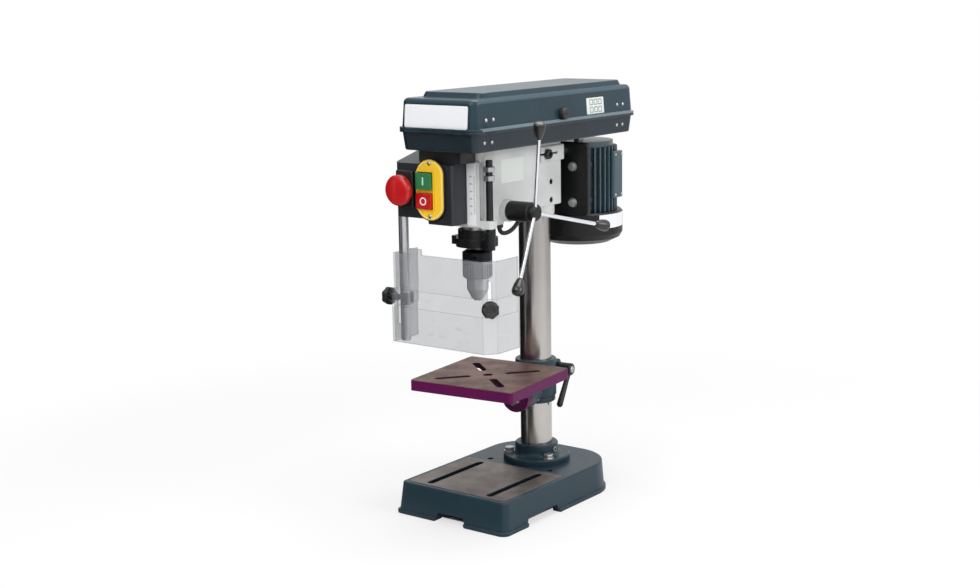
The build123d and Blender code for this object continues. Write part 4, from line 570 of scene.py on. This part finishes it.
def stackedRings(rings, heights, origin, across, up):
    # point = origin + x * across + y * up + height * the direction out of the plane
    across, up = unit(across), unit(up)
    rings = np.stack(rings)
    heights = np.asarray(heights, float)[:, None, None]
    points = np.asarray(origin, float) + rings[..., :1] * across + rings[..., 1:] * up
    points = points + heights * np.cross(across, up)
    return points.reshape(-1, 3), wrap(len(rings), rings.shape[1])


def raisedForm(outline, steps, origin, across, up):
    # outline carried inwards and outwards: each step is (inset, height); both ends close at the middle
    normals = outward(outline)
    middle = np.repeat(outline.mean(0)[None], len(outline), 0)
    rings = [middle] + [outline - normals * inset for inset, _ in steps] + [middle]
    heights = [steps[0][1]] + [height for _, height in steps] + [steps[-1][1]]
    return stackedRings(rings, heights, origin, across, up)


def frameForm(outline, width, thick, edge, origin, across, up):
    # flat ring of a given width inside an outline, with softened corners: a closed section carried round
    section = ((0.0, 0.0), (0.0, thick - edge), (edge, thick), (width - edge, thick), (width, thick - edge),
               (width, 0.0), (0.0, 0.0))
    normals = outward(outline)
    rings = [outline - normals * inset for inset, _ in section]
    return stackedRings(rings, [height for _, height in section], origin, across, up)


def domed(radius, height, base=0.0, steps=7):
    # rows of a low dome above a base: (radius * cos, base + height * sin), without its first row
    turn = np.linspace(0.0, np.pi / 2.0, steps)[1:]
    return [(radius * math.cos(t), height * math.sin(t) + base) for t in turn]


def screwHead(place, along, radius, height):
    # pan head = short wall and dome; the two bars of its cross stand a hair proud
    neck, sunk, crossAt, crossProud = height * 0.35, 0.4, 0.92, 0.14
    profile = [(0.0, -sunk), (radius, -sunk), (radius, neck)] + domed(radius * 0.98, height * 0.65, neck)
    parts = [turnedForm(profile, place, along, 28)]
    across, up = sideways(along)
    top = np.asarray(place, float) + unit(along) * height * crossAt
    bar = roundedBox(radius * 1.15, radius * 0.26, radius * 0.08, 3)
    for first, second in ((across, up), (up, -across)):
        parts.append(raisedForm(bar, [(0.0, 0.0), (0.0, crossProud)], top, first, second))
    return parts


# Motor lead: leaves a gland under the head and goes back in beside it; radius and length are in metres
lead = {
    "radius": 0.003, "length": 0.0748, "sides": 6, "steps": 24,
    "route": ((24, -117, 408.7), (24, -117, 396), (30, -100, 396), (36, -86, 411), (42, -84, 430),
              (30.3, -84, 430)),
}


def addLead(look):
    # a smooth line whose control points are the route's, with a round section
    curve = bpy.data.curves.new("motorLead", "CURVE")
    curve.dimensions = "3D"
    curve.bevel_depth = look["radius"]
    curve.bevel_resolution = look["sides"]
    curve.resolution_u = look["steps"]
    curve.use_fill_caps = True
    line = curve.splines.new("NURBS")
    route = spot(look["route"])
    line.points.add(len(route) - 1)
    line.points.foreach_set("co", np.concatenate([route, np.ones((len(route), 1))], 1).ravel())
    line.order_u = 3
    line.use_endpoint_u = True
    curve.materials.append(finishes["rubber"])
    made = bpy.data.objects.new("motorLead", curve)
    joinNode(made, "motor_lead", True)


addLead(lead)
print("lead laid")

# Feed handle: tapered grips on the three spokes, which flare out from the hub and lean by an angle
grip = {
    "lean": 16.0, "root": (78.3, -108.8, 428.0), "flare": 32.0, "reach": 119.0, "radius": 8.2, "length": 25.0,
    "along": (0.0, 0.02, 0.07, 0.16, 0.3, 0.5, 0.68, 0.82, 0.91, 0.96, 0.985, 1.0),
    "bulge": (0.0, 0.44, 0.56, 0.66, 0.78, 0.92, 1.0, 0.99, 0.9, 0.7, 0.42, 0.0),
}


def addGrips(look):
    # each grip is turned about its spoke: radius = bulge share * radius at height = share * length
    length = math.hypot(look["reach"], look["flare"])
    radii, heights = np.array(look["bulge"]) * look["radius"], np.array(look["along"]) * look["length"]
    profile = np.stack([radii, heights], 1)
    parts = []
    for index in range(3):
        angle = math.radians(look["lean"] + index * 120.0)
        way = (look["flare"], -look["reach"] * math.sin(angle), look["reach"] * math.cos(angle))
        along = np.array(way) / length
        start = np.array(look["root"]) + along * (length - look["length"] / 2)
        parts.append(turnedForm(profile, start, along, 40))
    addPiece("feedGrips", parts, "knobPlastic", "feed_knobs", True)


# Emergency stop: (radius, height) of the stem, (share of the radius, height) of the ribbed skirt
stopHead = {
    "centre": (-67.0, -196.0, 461.5), "radius": 21.0, "sides": 112, "ribs": 28, "ribDepth": 0.025,
    "ribRows": (6, 10), "sharp": 50.0,
    "stem": ((0.0, 8.0), (8.5, 8.0), (8.5, 16.0), (10.0, 17.6)),
    "skirt": ((0.78, 18.2), (0.93, 19.2), (1.0, 21.4), (1.0, 22.6), (1.0, 24.0), (1.0, 25.4), (0.985, 27.2),
              (0.93, 28.9), (0.84, 29.9)),
    "crown": (0.7, 0.55, 0.38, 0.2, 0.0), "rise": 2.1,
}


def addStopHead(look):
    # crown: height = skirt's top + rise * (1 - (share / skirt's share) squared)
    r = look["radius"]
    edge, top = look["skirt"][-1]
    skirt = [(r * share, height) for share, height in look["skirt"]]
    crown = [(r * share, top + look["rise"] * (1.0 - (share / edge) ** 2)) for share in look["crown"]]
    profile = list(look["stem"]) + skirt + crown
    ribs = (look["ribs"], look["ribDepth"], *look["ribRows"])
    form = turnedForm(profile, look["centre"], forward, look["sides"], ribs)
    addPiece("stopHead", [form], "redPlastic", "estop_button", True, look["sharp"])


# Switch: dark seal round the yellow plate, pale rim, a bezel, signs on the buttons and two screws;
# a trim is (growth of the outline, width, thickness, softened edge)
switchLook = {
    "back": -198.0, "face": -202.0, "middle": -28.0, "centreZ": 462.0, "half": (23.0, 41.0), "rise": 16.0,
    "ease": 3.2, "seal": (1.3, 1.5, 3.4, 0.5), "rim": (-1.2, 2.4, 0.7, 0.25),
    "bezelSize": (30.6, 53.5, 3.0), "bezel": (1.7, 2.2, 0.5), "buttonX": -35.0, "bezelZ": 461.0,
    "signFace": -207.85, "buttons": {"start_button": (474.0, "bar"), "stop_button": (447.0, "ring")},
    "screws": ((-28.0, 498.0), (-28.0, 426.0)), "screwRadius": 2.9, "screwHeight": 1.7,
}


def plateOutline(look, grow):
    # arcs over the ends and straight sides, eased where they meet, grown outwards;
    # arc radius = (half width squared + rise squared) / (2 * rise)
    (w, h), rise = look["half"], look["rise"]
    radius = (w * w + rise * rise) / (2.0 * rise)
    reach = math.asin(w / radius) * 0.9
    turn = np.linspace(-reach, reach, 25)
    top = np.stack([-np.sin(turn) * radius, h - radius + np.cos(turn) * radius], 1)
    side = np.array([[-w, h - rise - look["ease"]], [-w, rise + look["ease"] - h]])
    rows = np.concatenate([top, side, -top, -side])
    return rows + outward(rows) * grow


def addSwitchTrim(look):
    x, face, z = look["middle"], look["face"], look["centreZ"]
    grow, *trim = look["seal"]
    seal = frameForm(plateOutline(look, grow), *trim, (x, look["back"], z), xAxis, zAxis)
    addPiece("plateSeal", [seal], "blackPlastic", "switch_housing")
    grow, *trim = look["rim"]
    rim = frameForm(plateOutline(look, grow), *trim, (x, face + 0.1, z), xAxis, zAxis)
    addPiece("plateRim", [rim], "paleYellow", "switch_plate")
    place = (look["buttonX"], face, look["bezelZ"])
    bezel = frameForm(roundedBox(*look["bezelSize"]), *look["bezel"], place, xAxis, zAxis)
    addPiece("buttonBezel", [bezel], "yellowPlastic", "switch_plate")
    for node, (height, sign) in look["buttons"].items():
        place = (look["buttonX"], look["signFace"], height)
        if sign == "bar":
            steps = [(0.0, 0.0), (0.0, 0.3), (0.2, 0.45)]
            form = raisedForm(roundedBox(2.0, 11.0, 0.9, 4), steps, place, xAxis, zAxis)
        else:
            form = frameForm(roundedBox(11.0, 11.0, 5.4, 9), 1.8, 0.45, 0.15, place, xAxis, zAxis)
        addPiece(node + "Sign", [form], "signWhite", node)
    screws = []
    for x, z in look["screws"]:
        screws += screwHead((x, face, z), forward, look["screwRadius"], look["screwHeight"])
    addPiece("plateScrews", screws, "boltSteel", "switch_plate")


# Blank panels and labels, with no lettering
panels = {
    "lidPanel": {"place": (-1.0, -218.8, 562.0), "across": (1, 0, 0), "up": (0, 0.077, 1),
                 "size": (105.5, 30.5), "corner": 2.5, "thick": 0.9, "finish": "panelWhite",
                 "node": "belt_lid"},
    "lidLabel": {"place": (64.05, 62.0, 560.5), "across": (0, 1, 0), "up": (-0.077, 0, 1),
                 "size": (44.0, 23.0), "corner": 1.5, "thick": 0.35, "finish": "paperLabel",
                 "node": "belt_lid"},
    "headLabel": {"place": (30.0, -93.0, 482.0), "across": (0, 1, 0), "up": (0, 0, 1), "size": (52.0, 33.0),
                  "corner": 1.2, "thick": 0.3, "finish": "paperLabel", "node": "head_casting"},
}


def addPanels(table):
    # sunk a little behind the face, with a softened front edge
    for name, look in table.items():
        thick = look["thick"]
        steps = [(0.0, -0.4), (0.0, thick * 0.6), (thick * 0.3, thick), (thick * 0.9, thick)]
        outline = roundedBox(*look["size"], look["corner"])
        form = raisedForm(outline, steps, look["place"], look["across"], look["up"])
        addPiece(name, [form], look["finish"], look["node"])


# Rivets that hold the cover's inner brackets, in pairs: (y, z) on the right side and on the left
rivets = {
    "lidRivets": {"node": "belt_lid", "side": 64.3, "slope": 0.077,
                  "right": ((-195.7, 558.0), (-180.0, 558.0), (120.0, 558.0), (135.0, 558.0)),
                  "left": ((-195.7, 558.0), (-180.0, 558.0))},
    "trayRivets": {"node": "belt_tray", "side": 63.7, "slope": -0.1,
                   "right": ((-199.0, 528.6), (-183.0, 528.6), (120.0, 528.6), (135.0, 528.6)),
                   "left": ((-199.0, 528.6), (-183.0, 528.6))},
}
rivetHead = {"radius": 2.6, "height": 1.3, "sunk": 1.6, "neck": 0.15}


def addRivets(table, head):
    # each is turned about the cover's slanting side: a short wall and a dome
    r, sunk, neck = head["radius"], head["sunk"], head["neck"]
    profile = [(0.0, -sunk), (r, -sunk), (r, neck)] + domed(r * 0.97, head["height"], neck)
    for name, look in table.items():
        parts = []
        for side, places in ((1.0, look["right"]), (-1.0, look["left"])):
            for y, z in places:
                parts.append(turnedForm(profile, (side * look["side"], y, z), (side, 0.0, look["slope"]), 20))
        addPiece(name, parts, "boltSteel", look["node"])


# Cover screws of the terminal box
boxScrews = {"x": 62.9, "y": (118.5, 134.5), "z": (426.0, 485.0), "radius": 2.0, "height": 1.2}


def addBoxScrews(look):
    screws = []
    for z in look["z"]:
        for y in look["y"]:
            screws += screwHead((look["x"], y, z), xAxis, look["radius"], look["height"])
    addPiece("boxScrews", screws, "boltSteel", "terminal_box")


# Bare tiles on the cover's label, in three columns and two rows
tiles = {"place": (64.45, 62.0, 560.5), "up": (-0.077, 0.0, 1.0), "columns": (-10.0, 1.0, 12.0),
         "rows": (5.3, -5.3), "size": (8.6, 8.0), "corner": 1.2, "line": 1.1, "thick": 0.16, "edge": 0.05}


def addTiles(look):
    outline = roundedBox(*look["size"], look["corner"], 4)
    up = unit(look["up"])
    parts = []
    for along in look["columns"]:
        for rise in look["rows"]:
            place = np.array(look["place"]) + np.array(yAxis) * along + up * rise
            parts.append(frameForm(outline, look["line"], look["thick"], look["edge"], place, yAxis, up))
    addPiece("labelTiles", parts, "tileGrey", "belt_lid")


# Scale on the depth stop's plate: a strip with ruled lines and plain numbers;
# long is the length of a line at every tenth, fifth and single step
scale = {
    "x": (8.0, 22.5), "z": (413.0, 497.0), "face": -166.3, "step": 1.0, "count": 51, "lowest": 429.0,
    "long": (5.4, 3.8, 2.3), "lineWide": 0.24, "lineFace": 0.38, "margin": 0.7,
    "numbers": 6, "numberSize": 3.6, "numberThick": 0.06, "numberFace": 0.42, "numberMargin": 6.6,
}


def addScale(look):
    width = look["x"][1] - look["x"][0]
    height = look["z"][1] - look["z"][0]
    right, face = look["x"][1], look["face"]
    centre = (sum(look["x"]) / 2, face + 0.1, sum(look["z"]) / 2)
    steps = [(0.0, 0.0), (0.0, 0.35), (0.15, 0.5)]
    strip = raisedForm(roundedBox(width, height, 0.8, 3), steps, centre, xAxis, zAxis)
    addPiece("scaleStrip", [strip], "panelWhite", "scale_bracket")
    marks = []
    for index in range(look["count"]):
        long = look["long"][0 if index % 10 == 0 else 1 if index % 5 == 0 else 2]
        height = look["lowest"] + index * look["step"]
        place = (right - look["margin"] - long / 2, face - look["lineFace"], height)
        outline = roundedBox(long, look["lineWide"], 0.08, 2)
        marks.append(raisedForm(outline, [(0.0, 0.0), (0.0, 0.06)], place, xAxis, zAxis))
    addPiece("scaleMarks", marks, "ink", "scale_bracket")
    for index in range(look["numbers"]):
        height = look["lowest"] + index * 10 * look["step"]
        addNumber(index, spot((right - look["numberMargin"], face - look["numberFace"], height)), look)


def addNumber(index, place, look):
    # text made a mesh, then stood up and set in its place
    name = f"scaleNumber{index}"
    text = bpy.data.curves.new(name, "FONT")
    text.body = str(index * 10)
    text.size = look["numberSize"] / 1000.0
    text.extrude = look["numberThick"] / 1000.0
    text.align_x = "RIGHT"
    text.align_y = "CENTER"
    made = bpy.data.objects.new(name, text)
    bpy.context.scene.collection.objects.link(made)
    bpy.context.view_layer.update()
    mesh = bpy.data.meshes.new_from_object(made.evaluated_get(bpy.context.evaluated_depsgraph_get()))
    bpy.data.objects.remove(made)
    mesh.transform(Matrix.Translation(place.tolist()) @ Matrix.Rotation(math.pi / 2, 4, "X"))
    mesh.materials.clear()
    mesh.materials.append(finishes["ink"])
    joinNode(bpy.data.objects.new(name, mesh), "scale_bracket")


# Guard knobs with finger lobes: head and neck, screw and, at the front, the nut behind the screens;
# rows are (radius, height), and the lobes wave five rows of the head from lobedRow on
guardKnobs = {
    "postKnobLobes": {
        "node": "guard_post_knob", "start": (-97.3, -190.5, 307.0), "along": (-1, 0, 0), "lobes": 6,
        "head": ((4.8, 0.0), (4.8, 12.0), (7.6, 12.6), (11.4, 13.0), (12.3, 13.6), (12.5, 14.4), (12.5, 17.4),
                 (12.5, 20.2), (12.1, 21.2), (11.0, 21.8), (5.4, 22.0), (4.6, 21.4), (0.0, 21.3)),
        "screw": ((0.0, -4.7), (2.6, -4.7), (3.0, -4.3), (3.0, 0.0)),
        "nut": (),
    },
    "frontKnobLobes": {
        "node": "guard_front_knob", "start": (67.3, -197.7, 308.4), "along": (1, -1, 0), "lobes": 7,
        "head": ((4.8, 0.3), (7.0, 0.35), (10.4, 0.6), (11.2, 1.2), (11.7, 2.0), (12.0, 3.0), (12.0, 5.4),
                 (12.0, 8.6), (11.5, 10.2), (9.8, 11.1), (4.8, 11.3), (4.2, 10.7), (0.0, 10.5)),
        "screw": ((0.0, -7.0), (1.9, -7.0), (2.2, -6.7), (2.2, 0.3)),
        "nut": ((2.2, -6.7), (3.8, -6.7), (4.3, -6.4), (4.3, -4.9), (3.8, -4.6), (2.2, -4.6)),
    },
}
knobLobes = {"lobedRow": 5, "rows": 5, "depth": 0.12, "sides": 84}


def addGuardKnobs(table, lobes):
    for name, look in table.items():
        first = len(look["screw"]) + lobes["lobedRow"]
        wave = (look["lobes"], lobes["depth"], first, first + lobes["rows"])
        parts = [turnedForm(look["screw"] + look["head"], look["start"], look["along"], lobes["sides"], wave)]
        if look["nut"]:
            parts.append(turnedForm(look["nut"] + look["nut"][:1], look["start"], look["along"], 6))
        addPiece(name, parts, "knobPlastic", look["node"], True, 40.0)


# Blank rating plate wrapped round the motor's end bell: turn is its first and last angle
rating = {"radius": 65.0, "centre": (0.0, 115.0), "turn": (-29.0, 24.0), "z": (379.0, 399.2), "thick": 0.5,
          "sunk": 0.3, "edge": 0.2}


def addRatingPlate(look):
    # a closed section of (radius, height) carried round the angle, with both ends closed at their middle:
    # point = (centre x + radius * cos, centre y + radius * sin, height)
    turn = np.radians(np.linspace(*look["turn"], 33))[:, None]
    inner, out, edge = look["radius"] - look["sunk"], look["radius"] + look["thick"], look["edge"]
    low, high = look["z"]
    section = np.array([(inner, low), (out - edge, low), (out, low + edge), (out, high - edge),
                        (out - edge, high), (inner, high)])
    x0, y0 = look["centre"]
    x = x0 + section[:, 0] * np.cos(turn)
    y = y0 + section[:, 0] * np.sin(turn)
    rows = np.stack([x, y, np.broadcast_to(section[:, 1], x.shape)], -1)
    first = np.repeat(rows[:1].mean(1, keepdims=True), len(section), 1)
    last = np.repeat(rows[-1:].mean(1, keepdims=True), len(section), 1)
    rows = np.concatenate([first, rows, last])
    form = (rows.reshape(-1, 3), wrap(len(rows), len(section)))
    addPiece("ratingPlate", [form], "panelWhite", "motor_end_bell")


addGrips(grip)
addStopHead(stopHead)
addRatingPlate(rating)
addSwitchTrim(switchLook)
addPanels(panels)
addRivets(rivets, rivetHead)
addScale(scale)
addGuardKnobs(guardKnobs, knobLobes)
addBoxScrews(boxScrews)
addTiles(tiles)
print("new pieces made")

# Pale floor and soft background: the floor is seen as white from fadeTo on, and by seenWhite nearer in
studio = {"soft": 0.4, "softTone": tone(252, 252, 255), "floorSize": 6.0, "floorTone": tone(236, 236, 236),
          "seenWhite": 0.62, "fadeFrom": 0.35, "fadeTo": 1.1, "underMargin": 0.02}


def addStage(name, corners, material):
    mesh = bpy.data.meshes.new(name)
    mesh.from_pydata(corners, [], [(0, 1, 2, 3)])
    mesh.materials.append(material)
    made = bpy.data.objects.new(name, mesh)
    bpy.context.scene.collection.objects.link(made)
    return made


def addFloor(look):
    # white for the camera's rays and those through the screens, but plain paper under the hollow base
    f = Finish("studioFloor")
    seen = f.node("LightPath", out="Is Camera Ray").most(f.node("LightPath", out="Is Transmission Ray"))
    flat = f.node("VectorMath", {"operation": "LENGTH"}, {0: f.point()}, "Value")
    far = flat.smooth(look["fadeFrom"], look["fadeTo"])
    low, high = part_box("base")
    margin = look["underMargin"]
    under = (f.axis(0).size() < high.x - margin) * (f.axis(1) > low.y + margin)
    under = under * (f.axis(1) < high.y - margin)
    share = seen * (1.0 - under) * (look["seenWhite"] + far * (1.0 - look["seenWhite"]))
    paper = f.node("BsdfDiffuse", {}, {"Color": look["floorTone"]})
    white = f.node("Emission", {}, {"Color": pureWhite, "Strength": 1.0})
    half = look["floorSize"] / 2
    corners = ((-half, -half, 0), (half, -half, 0), (half, half, 0), (-half, half, 0))
    addStage("studioFloor", corners, f.close(f.node("MixShader", {}, {0: share, 1: paper, 2: white})))


def addWorld(look):
    # soft light for the object; white where the camera, a mirror or a clear sheet shows the background
    f = Finish("studioWorld", "worlds")
    mask = f.node("LightPath", out="Is Camera Ray").most(f.node("LightPath", out="Is Glossy Ray"))
    mask = mask.most(f.node("LightPath", out="Is Transmission Ray"))
    soft = f.node("Background", {}, {"Color": look["softTone"], "Strength": look["soft"]})
    white = f.node("Background", {}, {"Color": pureWhite, "Strength": 1.0})
    shader = f.node("MixShader", {}, {0: mask, 1: soft, 2: white})
    bpy.context.scene.world = f.close(shader, "OutputWorld")


# Dark felt cards out of the picture give metal and gloss their dark edges;
# those that aren't solid lie on the floor and show in reflections only
cards = {
    "leftCard": {"corners": ((-1.15, -1.15, 0.0), (-1.15, 0.75, 0.0), (-1.15, 0.75, 1.25),
                             (-1.15, -1.15, 1.25)), "solid": True},
    "frontCard": {"corners": ((-1.0, -1.35, 0.0), (0.35, -2.15, 0.0), (0.35, -2.15, 1.1),
                              (-1.0, -1.35, 1.1)), "solid": True},
    "floorFrontCard": {"corners": ((-0.2, -0.27, 0.001), (-1.15, -1.3, 0.001), (0.35, -2.15, 0.001),
                                   (0.12, -0.3, 0.001)), "solid": False},
    "floorLeftCard": {"corners": ((-0.18, -0.2, 0.001), (-0.18, 0.25, 0.001), (-1.15, 0.75, 0.001),
                                  (-1.15, -1.15, 0.001)), "solid": False},
}


def addCards(table):
    f = Finish("cardFelt")
    colour = f.mix(f.noise(300.0, 2.0), tone(24, 24, 25), tone(34, 34, 35))
    felt = f.close(f.node("BsdfDiffuse", {}, {"Color": colour}))
    for name, look in table.items():
        made = addStage(name, look["corners"], felt)
        made.visible_camera = False
        made.visible_transmission = False
        made.visible_diffuse = look["solid"]
        made.visible_shadow = look["solid"]


# Round soft lamps, all aimed at the middle of the drill press
lampAim = (0.0, 0.0, 0.32)
lamps = {
    "frontLamp": {"place": (0.1, -1.4, 1.35), "size": 1.4, "power": 16.0},
    "sideLamp": {"place": (1.9, 0.3, 1.3), "size": 1.1, "power": 18.0},
    "topLamp": {"place": (0.0, 0.3, 1.9), "size": 1.4, "power": 24.0},
}


def addLamps(table, aim):
    for name, look in table.items():
        data = bpy.data.lights.new(name, "AREA")
        data.shape = "DISK"
        data.size = look["size"]
        data.energy = look["power"]
        made = bpy.data.objects.new(name, data)
        made.location = look["place"]
        made.rotation_euler = (Vector(aim) - Vector(look["place"])).to_track_quat("-Z", "Y").to_euler()
        bpy.context.scene.collection.objects.link(made)


addFloor(studio)
addWorld(studio)
addCards(cards)
addLamps(lamps, lampAim)
bpy.context.scene.view_settings.view_transform = "Standard"
print("studio ready")
